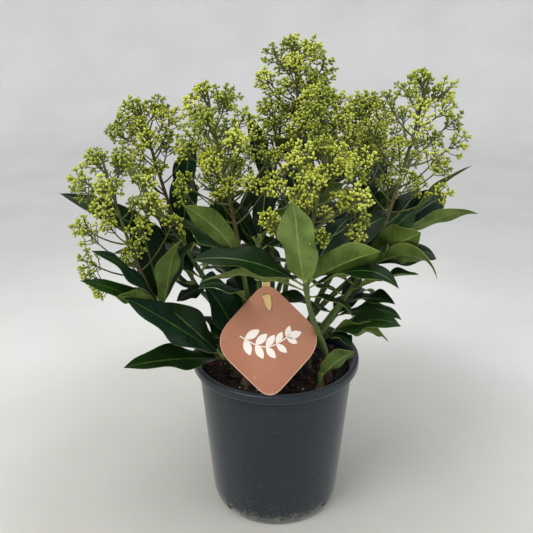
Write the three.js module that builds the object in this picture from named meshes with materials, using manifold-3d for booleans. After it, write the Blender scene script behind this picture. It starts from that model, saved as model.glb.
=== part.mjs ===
// A potted skimmia: a clump of green stems rising from one root in a round nursery pot, each
// stem ending in a whorl of leathery leaves under a branched head of flower buds, with a
// hanging tag on a strap round one stem. Millimetres, +Z up, origin on the pot's axis at the
// level it stands on. -Y is the side that the tag faces.
import * as THREE from 'three';
import { mergeVertices } from 'three/addons/utils/BufferGeometryUtils.js';
import Module from 'manifold-3d';

const wasm = await Module();
wasm.setup();

// ---------------------------------------------------------------- driving dimensions

const POT = {
  height: 148, footRadius: 55.4, cornerRadius: 59.8, cornerHeight: 15, neckRadius: 69.6,
  lipRadius: 75, lipInner: 70.5, lipHeight: 8, wall: 2, floor: 2, recess: 8.5, padRadius: 14,
  ringInner: 50, segments: 32,
};
const NOTCH = { angles: [-41.5, 46.5, 136.5, -131.5], width: 16.5, drain: 7, drainRadius: 44 };
const SOIL = { level: 138, dip: 4, flatRadius: 54, bottom: 11.6 };
const STEM = { foot: 2.9, tip: 2.3, flare: 0.7, flareLength: 5, sides: 5, leafySides: 4 };
const LEAFY_TIP = 1.9; // radius of a leafy stem where its flower stalk starts
const STALK = { foot: 2, tip: 1.2, sides: 3 };
const TWIG = { foot: 0.5, neck: 0.8, sides: 3 };
const LEAF = {
  petiole: 0.1, petioleWidth: 2.3, thickness: 1.3, fold: 0.16, shares: [0, 0.18, 0.45, 0.76, 1],
  clear: 3.4, closest: 14,
};
const TAG = {
  width: 79, height: 88.5, thickness: 0.9, lean: 24.3, turn: 2, foot: [-5.3, -72.75],
  pointUp: 5.1, pointOut: 8.3, endCut: 14, sideCut: 24, // past the rounded corners, and their cuts
  slotBelow: 8.5, slotWidth: 8.2, slotHeight: 5.5,
  clear: [0, 10, 20, 30, 40, 50, 60, 70],
};
const STRAP = { width: 6, thickness: 0.8, behind: 1.2, above: 5, tongue: 11.5, point: 6.5, ringBelow: 33 };
const GAP = 0.3; // between solids that meet
const GOLDEN_ANGLE = 137.50776;

// Each shoot: root is the foot on the soil, or the parent shoot and the place along it; top is
// where the leaves end; tip is the top of the flower head, width its spread, start the share of
// the stalk that is bare, and clusters how many side twigs it tries. leafy is the length of stem
// that bears leaves. placed leaves come first, each [mm below the top, azimuth, elevation,
// length, width, droop, roll], angles in degrees; whorl then adds count leaves by the golden
// angle from azimuth start, of about the length given.
const SHOOTS = {
  far_left: {
    root: [-36, -24], top: [-96, -45, 217], leafy: 38,
    tip: [-133, -45, 346], width: 88, start: 0.3, clusters: 19,
    placed: [
      [5, -38, 72, 70, 23, -6, 0],
      [4, 65, 42, 66, 16, 0, 20],
      [10, -148, 60, 101, 19, 18, 35],
      [4, 115, 61, 85, 30, 5, 0],
      [14, -148, 43, 86, 14, 14, 50],
      [3, -129, 40, 56, 16, 20, -60],
    ],
    low: [[-140, -50, 232], [-91, -52, 226]],
    whorl: { count: 7, start: 200, length: 76, steep: 64 },
  },
  upper_left: {
    root: [-32, 8], top: [-83, 15, 255], leafy: 60,
    tip: [-112, 15, 372], width: 88, start: 0.45, clusters: 19,
    placed: [
      [8, -170, 52, 92, 25, -28, -25],
      [16, -173, 31, 118, 20, 12, 60],
      [10, 70, 89, 96, 27, 10, 0],
      [50, -125, 0, 40, 14, 10, 20],
    ],
    whorl: { count: 8, start: 100, length: 78, steep: 64 },
  },
  mid_left: {
    root: [-18, -22], top: [-30, -35, 261], leafy: 84,
    tip: [-54, -25, 392], width: 84, start: 0.3, clusters: 21,
    placed: [
      [8, -145, 58, 74, 20, 25, -68],
      [12, 159, 37, 72, 27, 25, 0],
      [4, 118, 41, 62, 22, 0, 0],
      [50, -126, 47, 66, 30, 30, 15],
      [80, 129, 27, 74, 28, 10, 0],
    ],
    whorl: { count: 9, start: 30, length: 74, steep: 64 },
  },
  top: {
    root: [4, 8], top: [20, 35, 325], leafy: 95,
    tip: [14, 35, 417], width: 80, start: 0.35, clusters: 18,
    placed: [
      [8, 61, 31, 66, 22, 20, 0],
      [14, 47, 9, 66, 22, 35, 0],
    ],
    whorl: { count: 13, start: 10, length: 72, steep: 64 },
  },
  centre: {
    root: ['top', 0.42], top: [36, -8, 300], leafy: 52,
    tip: [33, -8, 384], width: 66, start: 0.36, clusters: 14,
    placed: [
      [10, 60, 32, 71, 22, 15, 0],
    ],
    whorl: { count: 9, start: 60, length: 70, steep: 64 },
  },
  front: {
    root: [45, -31], top: [21, -85, 258], leafy: 40,
    tip: [34, -80, 359], width: 90, start: 0.24, clusters: 22,
    placed: [
      [3, -116, 64, 90, 30, -6, 0],
      [5, -32, 41, 68, 26, 12, 70],
      [9, -169, 37, 92, 25, 42, 25],
      [13, -168, 29, 84, 18, 40, -36],
      [11, -32, 42, 82, 24, 55, -10],
      [5, 45, 51, 64, 24, 10, -20],
      [8, 29, 43, 86, 24, 15, -35],
      [19, -17, 12, 42, 9, 70, 0],
    ],
    whorl: { count: 2, start: 38, length: 74, steep: 64 },
  },
  mid_right: {
    root: [24, 14], top: [78, 35, 281], leafy: 74,
    tip: [74, 35, 372], width: 66, start: 0.36, clusters: 14,
    placed: [
      [5, 61, 44, 56, 22, 10, 0],
      [9, 70, 36, 66, 22, 20, 0],
    ],
    whorl: { count: 12, start: 40, length: 74, steep: 64 },
  },
  right: {
    root: [28, -10], top: [79, -20, 250], leafy: 50,
    tip: [117, -10, 399], width: 88, start: 0.36, clusters: 20,
    placed: [
      [5, -48, 40, 62, 32, 12, 70],
      [8, 30, 53, 61, 28, 20, -20],
      [12, 19, 21, 72, 26, 40, -30],
      [16, -43, 47, 84, 20, 75, 50],
    ],
    whorl: { count: 7, start: 20, length: 76, steep: 64 },
  },
  back_left: {
    root: [-20, 28], top: [-46, 78, 245], leafy: 56,
    tip: [-52, 100, 330], width: 80, start: 0.32, clusters: 17,
    whorl: { count: 12, start: 80, length: 80, steep: 64 },
  },
  back: {
    root: [-2, 34], top: [-2, 62, 282], leafy: 80,
    tip: [6, 72, 357], width: 66, start: 0.34, clusters: 13,
    placed: [
      [5, 134, 68, 84, 16, 5, 30],
      [8, 138, 74, 86, 18, 0, 0],
    ],
    whorl: { count: 13, start: 70, length: 74, steep: 64 },
  },
  back_right: {
    root: ['mid_right', 0.3], top: [72, 84, 236], leafy: 46,
    tip: [89, 98, 328], width: 80, start: 0.32, clusters: 17,
    whorl: { count: 12, start: 45, length: 80, steep: 64 },
  },
  low_back: {
    root: ['back', 0.22], top: [16, 104, 208], leafy: 40,
    tip: [22, 126, 292], width: 78, start: 0.32, clusters: 16,
    whorl: { count: 11, start: 100, length: 76, steep: 64 },
  },
  inner_front: {
    root: [-12, -30], top: [-15, -27, 268], leafy: 26,
    placed: [
      [6, 70, 62, 72, 22, 0, 0],
    ],
    whorl: { count: 5, start: 20, length: 66, steep: 64 },
  },
  low_left: {
    root: ['far_left', 0.18], top: [-44, -48, 172], leafy: 21.5,
    placed: [
      [21, -139, 21, 100, 27, 16, 20],
      [6, -150, 44, 108, 29, 10, 40],
      [3, -172, 49, 74, 28, 5, 45],
    ],
    whorl: { count: 2, start: 60, length: 66, steep: 64 },
  },
  low_right: {
    root: ['right', 0.16], top: [44, -38, 190], leafy: 26,
    placed: [
      [4, -35, 39, 72, 26, 30, -25],
      [9, -36, 31, 64, 24, 30, 50],
      [7, -59, 30, 34, 16, 50, 0],
    ],
    whorl: { count: 2, start: 60, length: 60, steep: 64 },
  },
  side_left: {
    root: ['upper_left', 0.24], top: [-84, 58, 206], leafy: 40,
    whorl: { count: 10, start: 150, length: 80, steep: 64 },
  },
  side_right: {
    root: ['mid_right', 0.22], top: [102, 20, 256], leafy: 40,
    placed: [
      [5, -29, 32, 84, 15, 12, 55],
      [9, 24, 44, 72, 30, 25, -60],
      [4, 15, 48, 96, 15, 16, 50],
    ],
    whorl: { count: 8, start: 60, length: 76, steep: 64 },
  },
  low_behind: {
    root: ['back_left', 0.2], top: [-34, 102, 186], leafy: 30,
    whorl: { count: 10, start: 110, length: 74, steep: 64 },
  },
  low_right_back: {
    root: ['right', 0.2], top: [60, 2, 200], leafy: 28,
    placed: [
      [5, -46, 36, 62, 20, 40, -10],
    ],
    whorl: { count: 7, start: 0, length: 66, steep: 64 },
  },
  low_middle: {
    root: [-26, -38], top: [-24, -34, 172], leafy: 16,
    placed: [
      [3, 140, 58, 68, 29, 4, 20],
    ],
    whorl: { count: 3, start: 60, length: 56, steep: 60 },
  },
  low_front: {
    root: [38, -46], top: [37, -48, 156], leafy: 13,
    placed: [
      [1, -45, 59, 50, 18, 20, 45],
    ],
    whorl: { count: 1, start: 60, length: 34, steep: 56 },
  },
};

// ---------------------------------------------------------------- small tools

const rad = THREE.MathUtils.degToRad;
const vec = (x, y, z) => new THREE.Vector3(x, y, z);
const along = (a, b, t) => a.clone().lerp(b, t);

/** Seeded numbers from 0 to 1, by a linear congruential rule. */
function draws(seed) {
  let state = seed >>> 0;
  return () => {
    state = (Math.imul(1664525, state) + 1013904223) >>> 0;
    return state / 4294967296;
  };
}

/** An indexed BufferGeometry from a list of points and a list of triangles. */
function shell(points, triangles) {
  const geometry = new THREE.BufferGeometry();
  const places = points.flatMap((p) => [p.x, p.y, p.z]);
  geometry.setAttribute('position', new THREE.Float32BufferAttribute(places, 3));
  geometry.setIndex(triangles.flat());
  return geometry;
}

/** A manifold solid from any closed geometry. */
function solid(geometry) {
  const bare = geometry.clone();
  bare.deleteAttribute('normal');
  bare.deleteAttribute('uv');
  const merged = mergeVertices(bare, 1e-4);
  return new wasm.Manifold(new wasm.Mesh({
    numProp: 3,
    vertProperties: new Float32Array(merged.attributes.position.array),
    triVerts: new Uint32Array(merged.index.array),
  }));
}

/** The BufferGeometry of a manifold solid. */
function surface(body) {
  const mesh = body.getMesh();
  const geometry = new THREE.BufferGeometry();
  geometry.setAttribute('position', new THREE.BufferAttribute(new Float32Array(mesh.vertProperties), 3));
  geometry.setIndex(new THREE.BufferAttribute(new Uint32Array(mesh.triVerts), 1));
  geometry.computeVertexNormals();
  return geometry;
}

const joined = (geometries) => geometries.map(solid).reduce((sum, next) => sum.add(next));

/** The largest body of a solid, without the slivers that a cut leaves. */
const largest = (body) =>
  body.decompose().reduce((most, next) => (next.volume() > most.volume() ? next : most));

/** A closed tapering limb along a curve, with rings at the parameters given. */
function limb(curve, parameters, radiusAt, sides) {
  const points = [];
  const triangles = [];
  const chord = curve.getPoint(1).sub(curve.getPoint(0));
  const side = Math.abs(chord.x) < 0.8 * chord.length() ? vec(1, 0, 0) : vec(0, 1, 0);
  for (const t of parameters) {
    const centre = curve.getPoint(t);
    const tangent = curve.getTangent(t);
    const a = side.clone().addScaledVector(tangent, -side.dot(tangent)).normalize();
    const b = tangent.clone().cross(a);
    for (let k = 0; k < sides; k++) {
      const phi = (2 * Math.PI * k) / sides;
      const outward = a.clone().multiplyScalar(Math.cos(phi)).addScaledVector(b, Math.sin(phi));
      points.push(centre.clone().addScaledVector(outward, radiusAt(t)));
    }
  }
  const last = (parameters.length - 1) * sides;
  for (let i = 0; i < last; i += sides) {
    for (let k = 0; k < sides; k++) {
      const next = (k + 1) % sides;
      triangles.push([i + k, i + next, i + sides + next], [i + k, i + sides + next, i + sides + k]);
    }
  }
  for (let k = 1; k < sides - 1; k++) {
    triangles.push([0, k + 1, k], [last, last + k, last + k + 1]);
  }
  return shell(points, triangles);
}

/** Numbers evenly spaced from one value to another, both among them. */
const evenly = (from, to, count) =>
  Array.from({ length: count }, (_, i) => from + ((to - from) * i) / (count - 1));

/** The curve's parameter at a distance in mm back from its end. */
function parameterBelow(curve, distance, steps = 64) {
  let walked = 0;
  let previous = curve.getPoint(1);
  for (let i = steps - 1; i >= 0; i--) {
    const point = curve.getPoint(i / steps);
    const step = point.distanceTo(previous);
    if (walked + step >= distance) return (i + 1 - (distance - walked) / step) / steps;
    walked += step;
    previous = point;
  }
  return 0;
}

function curveLength(curve, steps = 64) {
  let walked = 0;
  for (let i = 1; i <= steps; i++) {
    walked += curve.getPoint(i / steps).distanceTo(curve.getPoint((i - 1) / steps));
  }
  return walked;
}

// ---------------------------------------------------------------- the shoots' curves

/** A shoot's stem: upright at its foot, then leaning out to the top of its leaves. */
function stemCurve(name) {
  const shoot = SHOOTS[name];
  const top = vec(...shoot.top);
  let foot;
  let rise;
  if (typeof shoot.root[0] === 'string') {
    const [parent, place] = [stemCurve(shoot.root[0]), shoot.root[1]];
    foot = parent.getPoint(place);
    rise = parent.getTangent(place).addScaledVector(top.clone().sub(foot).normalize(), 1.2).normalize();
  } else {
    foot = vec(...shoot.root, SOIL.level + GAP);
    rise = vec(0, 0, 1);
  }
  const chord = top.clone().sub(foot);
  const length = chord.length();
  chord.normalize();
  const lean = shoot.tip
    ? vec(...shoot.tip).sub(top).normalize().addScaledVector(chord, 0.9).normalize()
    : chord.clone().add(vec(0, 0, 0.8)).normalize();
  return new THREE.CubicBezierCurve3(
    foot,
    foot.clone().addScaledVector(rise, 0.32 * length),
    top.clone().addScaledVector(lean, -0.34 * length),
    top,
  );
}

/** A flower stalk: it carries the stem's lean on and turns up towards the tip. */
function stalkCurve(name) {
  const stem = stemCurve(name);
  const top = stem.v3;
  const tip = vec(...SHOOTS[name].tip);
  const length = tip.distanceTo(top);
  const lean = stem.v3.clone().sub(stem.v2).normalize();
  const upward = tip.clone().sub(top).normalize().add(vec(0, 0, 0.3)).normalize();
  return new THREE.CubicBezierCurve3(
    top,
    top.clone().addScaledVector(lean, 0.3 * length),
    tip.clone().addScaledVector(upward, -0.3 * length),
    tip,
  );
}

// ---------------------------------------------------------------- leaves

/** Half the blade's width at the share s of its length: a narrow stalk, widest past the middle. */
function halfWidth(s, width) {
  const u = Math.min(1, Math.max(0, (s - LEAF.petiole) / (1 - LEAF.petiole)));
  const [a, b] = [1.15, 0.85];
  const peak = (a / (a + b)) ** a * (b / (a + b)) ** b;
  const blade = ((width / 2) * u ** a * (1 - u) ** b) / peak;
  return Math.max(blade, s < 0.97 ? (LEAF.petioleWidth / 2) * (1 - 0.6 * s) : 0);
}

/** The direction of a heading and a pitch in radians. */
const pointing = (heading, pitch) =>
  vec(Math.cos(pitch) * Math.cos(heading), Math.cos(pitch) * Math.sin(heading), Math.sin(pitch));

/** Where a leaf starts: on the stem's axis, lower for a leaf that hugs the stem, to clear its stalk. */
function leafRoot(name, [below, azimuth, elevation]) {
  const stem = stemCurve(name);
  const outward = pointing(rad(azimuth), rad(elevation));
  const spread = Math.max(outward.angleTo(stem.getTangent(1)), rad(LEAF.closest));
  return stem.getPoint(parameterBelow(stem, Math.max(below, LEAF.clear / Math.tan(spread))));
}

/** The blade's frames at shares of its length: centre, the side vector and the upper side. */
function bladeFrames(root, [, azimuth, elevation, length, , droop, roll], shares) {
  const steps = 24;
  const heading = rad(azimuth);
  const direction = (s) => pointing(heading, rad(elevation - droop * s ** 1.4));
  const midrib = [root.clone()];
  for (let i = 0; i < steps; i++) {
    midrib.push(midrib[i].clone().addScaledVector(direction((i + 0.5) / steps), length / steps));
  }
  const level = vec(Math.sin(heading), -Math.cos(heading), 0);
  return shares.map((s) => {
    const cell = Math.min(steps - 1, Math.floor(s * steps));
    const upper = level.clone().cross(direction(s));
    const turn = rad(roll) * Math.min(1, 2.5 * s);
    return {
      s,
      centre: along(midrib[cell], midrib[cell + 1], s * steps - cell),
      side: level.clone().multiplyScalar(Math.cos(turn)).addScaledVector(upper, Math.sin(turn)),
      upper: upper.clone().multiplyScalar(Math.cos(turn)).addScaledVector(level, -Math.sin(turn)),
    };
  });
}

/** A point of the blade, v from -1 to 1 across it: it folds up a little from the midrib. */
function bladePoint({ s, centre, side, upper }, width, v) {
  const half = halfWidth(s, width);
  const raised = LEAF.fold * half * Math.abs(v);
  return centre.clone().addScaledVector(side, half * v).addScaledVector(upper, raised);
}

/** One closed leaf: a thin lens in section, sharp at the edges and at the tip. */
function leafShell(root, leaf) {
  const frames = bladeFrames(root, leaf, LEAF.shares);
  const points = [];
  const triangles = [];
  const last = frames.length - 1;
  frames.slice(0, last).forEach((frame, i) => {
    const thick = LEAF.thickness * (1 - 0.45 * frame.s);
    points.push(
      bladePoint(frame, leaf[4], -1),
      frame.centre.clone().addScaledVector(frame.upper, thick / 2),
      bladePoint(frame, leaf[4], 1),
      frame.centre.clone().addScaledVector(frame.upper, -thick / 2),
    );
    if (i === 0) return;
    for (let k = 0; k < 4; k++) {
      const [p, q] = [4 * i + k, 4 * i + ((k + 1) % 4)];
      triangles.push([p - 4, q - 4, q], [p - 4, q, p]);
    }
  });
  points.push(frames[last].centre);
  const tip = points.length - 1;
  for (let k = 0; k < 4; k++) triangles.push([tip - 4 + k, tip - 4 + ((k + 1) % 4), tip]);
  triangles.push([0, 2, 1], [0, 3, 2]);
  return shell(points, triangles);
}

/** Points all over a blade, about a spacing apart, to test its clearance by. */
function bladeSamples(root, leaf, spacing = 4.5) {
  const first = 0.14;
  const rows = Math.ceil((leaf[3] * (1 - first)) / spacing) + 1;
  return bladeFrames(root, leaf, evenly(first, 0.985, rows)).flatMap((frame) => {
    const across = Math.max(1, Math.ceil(halfWidth(frame.s, leaf[4]) / spacing));
    return evenly(-1, 1, 2 * across + 1).map((v) => bladePoint(frame, leaf[4], v));
  });
}

/** The whorl's leaves: round the stem by the golden angle, steep at the top and flatter below. */
function whorlLeaves(name) {
  const { whorl, leafy } = SHOOTS[name];
  const draw = draws(5000 + Object.keys(SHOOTS).indexOf(name) * 131);
  return Array.from({ length: whorl.count }, (_, i) => {
    const f = i / Math.max(1, whorl.count - 1);
    return [
      3.5 + f * (leafy - 10),
      whorl.start + i * GOLDEN_ANGLE + 28 * (draw() - 0.5),
      whorl.steep - 40 * f + 16 * (draw() - 0.5),
      whorl.length * (0.86 + 0.26 * draw()),
      20 + 9 * draw(),
      14 + 26 * draw(),
      24 * (draw() - 0.5),
    ];
  });
}

// ---------------------------------------------------------------- flower heads

/** The side twigs of a head: each from the stalk to a cluster of buds on the head's outline. */
function headTwigs(name) {
  const order = Object.keys(SHOOTS).indexOf(name);
  const { width, start, clusters, tip, low } = SHOOTS[name];
  const stalk = stalkCurve(name);
  const length = curveLength(stalk);
  const draw = draws(1000 + order * 77);
  const twigs = [];
  for (let k = 0; k < clusters; k++) {
    const level = (k + 0.5) / clusters;
    const azimuth = rad(k * GOLDEN_ANGLE + 40 * (draw() - 0.5) + 31 * order);
    const spread = Math.sqrt(1 - ((level - 0.2) / 0.8) ** 2);
    const reach = (width / 2 - 7) * spread * (0.8 + 0.26 * draw());
    const t = start + (1 - start) * 0.9 * level ** 0.95;
    const tangent = stalk.getTangent(t);
    const a = tangent.clone().cross(vec(0, 1, 0)).normalize();
    const b = tangent.clone().cross(a);
    const outward = a.clone().multiplyScalar(Math.cos(azimuth)).addScaledVector(b, Math.sin(azimuth));
    const centre = stalk.getPoint(t).addScaledVector(outward, reach);
    const from = Math.max(0.14, t - (0.7 * reach) / length - 0.02);
    twigs.push({ from: stalk.getPoint(from), centre, radius: 6.6 + 2 * draw() });
  }
  twigs.push({ from: stalk.getPoint(0.9), centre: vec(...tip).add(vec(0, 0, -6.5)), radius: 7 });
  for (const place of low ?? []) {
    twigs.push({ from: stalk.getPoint(0.16), centre: vec(...place), radius: 5.5 });
  }
  return twigs;
}

// ---------------------------------------------------------------- clearance

/** Points that are taken, each with a radius and the name of the piece it belongs to. */
class Clearance {
  constructor() {
    this.taken = [];
  }

  add(points, radius, owner) {
    for (const point of points) this.taken.push({ x: point.x, y: point.y, z: point.z, radius, owner });
  }

  /** Whether any point lies nearer than the margin to a piece other than its own. */
  meets(points, owner, margin) {
    const box = new THREE.Box3().setFromPoints(points).expandByScalar(margin + 9);
    const near = this.taken.filter((q) => q.owner !== owner && box.containsPoint(q));
    return points.some((p) => near.some((q) => {
      const reach = margin + q.radius;
      return (p.x - q.x) ** 2 + (p.y - q.y) ** 2 + (p.z - q.z) ** 2 < reach * reach;
    }));
  }
}

const twigSamples = ({ from, centre }) => {
  const count = Math.max(2, Math.floor(from.distanceTo(centre) / 4));
  return evenly(0, 1, count).map((t) => along(from, centre, t));
};

/** Whether a leaf would lie in the soil or across the pot's lip. */
const meetsPot = (points) => points.some((p) => {
  const r = Math.hypot(p.x, p.y);
  return (r <= 66 && p.z < SOIL.level + 3) || (r > 64 && r < 80 && p.z < POT.height + 4) || p.z < 60;
});

const nearest = (left, right) => Math.min(...left.map((p) => Math.min(...right.map((q) => p.distanceTo(q)))));

/**
 * The whole plant's leaves and flower twigs, tried in turn: the placed leaves, then the heads,
 * then the whorls. A leaf tries a few azimuths, and one that still touches another piece is left out.
 */
function growPlant() {
  const names = Object.keys(SHOOTS);
  const space = new Clearance();
  for (const name of names) {
    const stem = stemCurve(name);
    const cut = parameterBelow(stem, SHOOTS[name].leafy);
    for (const t of evenly(0, 1, Math.floor(curveLength(stem) / 4) + 2)) {
      space.add([stem.getPoint(t)], 2.7, t < cut ? `stem ${name}` : name);
    }
    if (!SHOOTS[name].tip) continue;
    const stalk = stalkCurve(name);
    space.add(evenly(0.25, 0.95, 30).map((t) => stalk.getPoint(t)), 1.6, `head ${name}`);
    space.add(evenly(0.02, 0.25, 10).map((t) => stalk.getPoint(t)), -1.6, `head ${name}`);
  }
  space.add(tagSamples(), 0.5, 'tag');

  const leaves = {};
  const grown = {};
  const place = (name, leaf, turns, crowding) => {
    for (const turn of turns) {
      const turned = [...leaf];
      turned[1] += turn;
      const samples = bladeSamples(leafRoot(name, turned), turned);
      if (meetsPot(samples) || space.meets(samples, name, 4.2)) continue;
      const outer = samples.slice(Math.floor(samples.length / 3));
      if (crowding && grown[name].some((other) => nearest(outer, other) < crowding)) continue;
      leaves[name].push(turned);
      grown[name].push(outer);
      space.add(samples, 0, name);
      return;
    }
  };
  for (const name of names) {
    leaves[name] = [];
    grown[name] = [];
    for (const leaf of SHOOTS[name].placed ?? []) place(name, leaf, [0, 7, -7, 14, -14, 21, -21], 0);
  }

  const twigs = {};
  for (const name of names.filter((key) => SHOOTS[key].tip)) {
    const owner = `head ${name}`;
    twigs[name] = [];
    for (const twig of headTwigs(name)) {
      if (space.meets([twig.centre], owner, 0.85 * twig.radius + 1.2)) continue;
      if (space.meets(twigSamples(twig).slice(1), owner, 2.6)) continue;
      const crowds = (other) => other.centre.distanceTo(twig.centre) < 0.8 * (other.radius + twig.radius);
      if (twigs[name].some(crowds)) continue;
      twigs[name].push(twig);
    }
    for (const twig of twigs[name]) {
      space.add(twigSamples(twig), 0.9, owner);
      space.add([twig.centre], 0.75 * twig.radius, owner);
    }
  }

  for (const name of names) {
    for (const leaf of whorlLeaves(name)) place(name, leaf, [0, 24, -24, 48, -48], 5);
  }
  return { leaves, twigs };
}

// ---------------------------------------------------------------- solids of the plant

const stemRadius = (length) => (t) =>
  (STEM.foot + (STEM.tip - STEM.foot) * t) * (1 + STEM.flare * Math.exp((-t * length) / STEM.flareLength));
const boughRadius = (t) =>
  Math.min(1, 0.3 + 6 * t) * (STEM.foot - 0.3 + (STEM.tip - STEM.foot + 0.3) * t);

/** The bare part of a stem or bough, from its foot up to its lowest leaf. */
function bareStem(name, grow = 0) {
  const curve = stemCurve(name);
  const bough = typeof SHOOTS[name].root[0] === 'string';
  const cut = grow ? 1 : parameterBelow(curve, SHOOTS[name].leafy + GAP);
  const radius = bough ? boughRadius : stemRadius(curveLength(curve));
  const rings = evenly(0, 1, 6).map((u) => cut * u ** 1.4);
  const bare = solid(limb(curve, rings, (t) => radius(t) + grow, STEM.sides));
  return bough && !grow ? largest(bare.subtract(bareStem(SHOOTS[name].root[0], GAP))) : bare;
}

/** A foliage mass: the leafy end of the stem with its leaves' roots sunk in it. */
function leafMass(name, leaves) {
  const curve = stemCurve(name);
  const low = parameterBelow(curve, SHOOTS[name].leafy);
  const steps = Math.max(2, Math.round(SHOOTS[name].leafy / 26) + 1);
  const radius = (t) => STEM.tip + ((LEAFY_TIP - STEM.tip) * (t - low)) / (1 - low);
  const axis = limb(curve, evenly(low, 1, steps), radius, STEM.leafySides);
  return joined([axis, ...leaves.map((leaf) => leafShell(leafRoot(name, leaf), leaf))]);
}

/** A flower head: the stalk, and side twigs that each swell into a rough cluster of buds. */
function flowerHead(name, twigs) {
  const stalk = stalkCurve(name);
  const start = 0.35 / curveLength(stalk);
  const radius = (t) => STALK.foot + (STALK.tip - STALK.foot) * t;
  const pieces = [limb(stalk, evenly(start, 0.93, 4), radius, STALK.sides)];
  for (const { from, centre, radius: spread } of twigs) {
    const reach = centre.distanceTo(from) + spread;
    const neck = (reach - 1.9 * spread) / reach;
    const line = new THREE.LineCurve3(from, along(from, centre, reach / (reach - spread)));
    const widths = [TWIG.foot, TWIG.neck, 1.15 * spread, 0.4 * spread];
    const places = [0, Math.max(0.1, neck), (reach - 0.75 * spread) / reach, 1];
    pieces.push(limb(line, places, (t) => widths[places.indexOf(t)], TWIG.sides));
  }
  return joined(pieces);
}

// ---------------------------------------------------------------- pot and soil

const underLip = POT.height - POT.lipHeight;
const outerWall = (z) =>
  THREE.MathUtils.mapLinear(z, POT.cornerHeight, underLip, POT.cornerRadius, POT.neckRadius);
const innerWall = (z) => outerWall(Math.max(z, POT.cornerHeight)) - POT.wall;

/** A ring sector as a closed prism, between two radii and two heights, round an angle from -Y. */
function sector(inner, outer, low, high, angle, width) {
  const mid = rad(angle - 90);
  const half = rad(width / 2);
  const outline = new THREE.Shape();
  outline.absarc(0, 0, outer, mid - half, mid + half, false);
  outline.absarc(0, 0, inner, mid + half, mid - half, true);
  outline.closePath();
  const options = { depth: high - low, bevelEnabled: false, curveSegments: 3 };
  return new THREE.ExtrudeGeometry(outline, options).translate(0, 0, low);
}

/** The pot: a tapered wall with a rolled lip, on a ring with four notches, each with a drain hole behind. */
function makePot() {
  const top = POT.recess + POT.floor;
  const profile = [
    [0, 0], [POT.padRadius, 0], [POT.padRadius + 1.5, POT.recess],
    [POT.ringInner - 1, POT.recess], [POT.ringInner, 0], [POT.footRadius, 0], [POT.footRadius + 3, 5],
    [POT.cornerRadius, POT.cornerHeight], [POT.neckRadius, underLip],
    [POT.lipRadius, underLip + 0.6], [POT.lipRadius, POT.height],
    [POT.lipInner, POT.height], [innerWall(underLip - 1), underLip - 1],
    [innerWall(POT.cornerHeight), POT.cornerHeight], [POT.cornerRadius - 5, top], [0, top],
  ].map(([r, z]) => new THREE.Vector2(r, z));
  let pot = solid(new THREE.LatheGeometry(profile, POT.segments).rotateX(Math.PI / 2));
  for (const angle of NOTCH.angles) {
    const opening = sector(POT.ringInner - 1.5, POT.lipRadius, -1, POT.recess, angle, NOTCH.width);
    pot = pot.subtract(solid(opening));
    const drain = new THREE.CylinderGeometry(NOTCH.drain / 2, NOTCH.drain / 2, 3 * POT.floor, 12);
    drain.rotateX(Math.PI / 2).translate(0, -NOTCH.drainRadius, top).rotateZ(rad(angle));
    pot = pot.subtract(solid(drain));
  }
  return pot;
}

/** The soil: fills the pot above its floor, flat where the stems stand, lower at the wall. */
function makeSoil() {
  const edge = SOIL.level - SOIL.dip;
  const profile = [
    [0, SOIL.bottom], [innerWall(SOIL.bottom) - 3.2, SOIL.bottom],
    [innerWall(POT.cornerHeight) - GAP, POT.cornerHeight + 1], [innerWall(edge) - GAP, edge],
    [SOIL.flatRadius + 6, SOIL.level - 1.6], [SOIL.flatRadius, SOIL.level], [0, SOIL.level],
  ].map(([r, z]) => new THREE.Vector2(r, z));
  return solid(new THREE.LatheGeometry(profile, POT.segments).rotateX(Math.PI / 2));
}

// ---------------------------------------------------------------- tag and strap

/** Places a shape drawn in the tag's own plane: its foot on the pot's lip, leaning back. */
function tagPlane() {
  const foot = vec(...TAG.foot, POT.height + GAP + TAG.thickness / 2);
  return new THREE.Matrix4()
    .makeTranslation(foot)
    .multiply(new THREE.Matrix4().makeRotationX(rad(90 - TAG.lean)))
    .multiply(new THREE.Matrix4().makeRotationZ(rad(TAG.turn)))
    .multiply(new THREE.Matrix4().makeTranslation(0, TAG.height / 2, 0));
}

/** The tag's outline: a square on its corner with rounded corners, wider rounds at the sides. */
function tagOutline() {
  const [tall, wide] = [TAG.height / 2 + TAG.pointUp, TAG.width / 2 + TAG.pointOut];
  const edge = Math.hypot(tall, wide);
  const [endCut, sideCut] = [TAG.endCut / edge, TAG.sideCut / edge];
  const corners = [[0, tall, endCut], [-wide, 0, sideCut], [0, -tall, endCut], [wide, 0, sideCut]];
  const outline = new THREE.Shape();
  corners.forEach(([x, y, cut], i) => {
    const [px, py] = corners[(i + 3) % 4];
    const [nx, ny] = corners[(i + 1) % 4];
    const [ax, ay] = [x + (px - x) * cut, y + (py - y) * cut];
    if (i === 0) outline.moveTo(ax, ay);
    else outline.lineTo(ax, ay);
    outline.quadraticCurveTo(x, y, x + (nx - x) * cut, y + (ny - y) * cut);
  });
  outline.closePath();
  const slot = new THREE.Path();
  const slotY = TAG.height / 2 - TAG.slotBelow;
  slot.absellipse(0, slotY, TAG.slotWidth / 2, TAG.slotHeight / 2, 0, 2 * Math.PI, false);
  outline.holes.push(slot);
  return outline;
}

function makeTag() {
  const options = { depth: TAG.thickness, bevelEnabled: false, curveSegments: 6 };
  const card = new THREE.ExtrudeGeometry(tagOutline(), options);
  return solid(card.translate(0, 0, -TAG.thickness / 2).applyMatrix4(tagPlane()));
}

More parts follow.
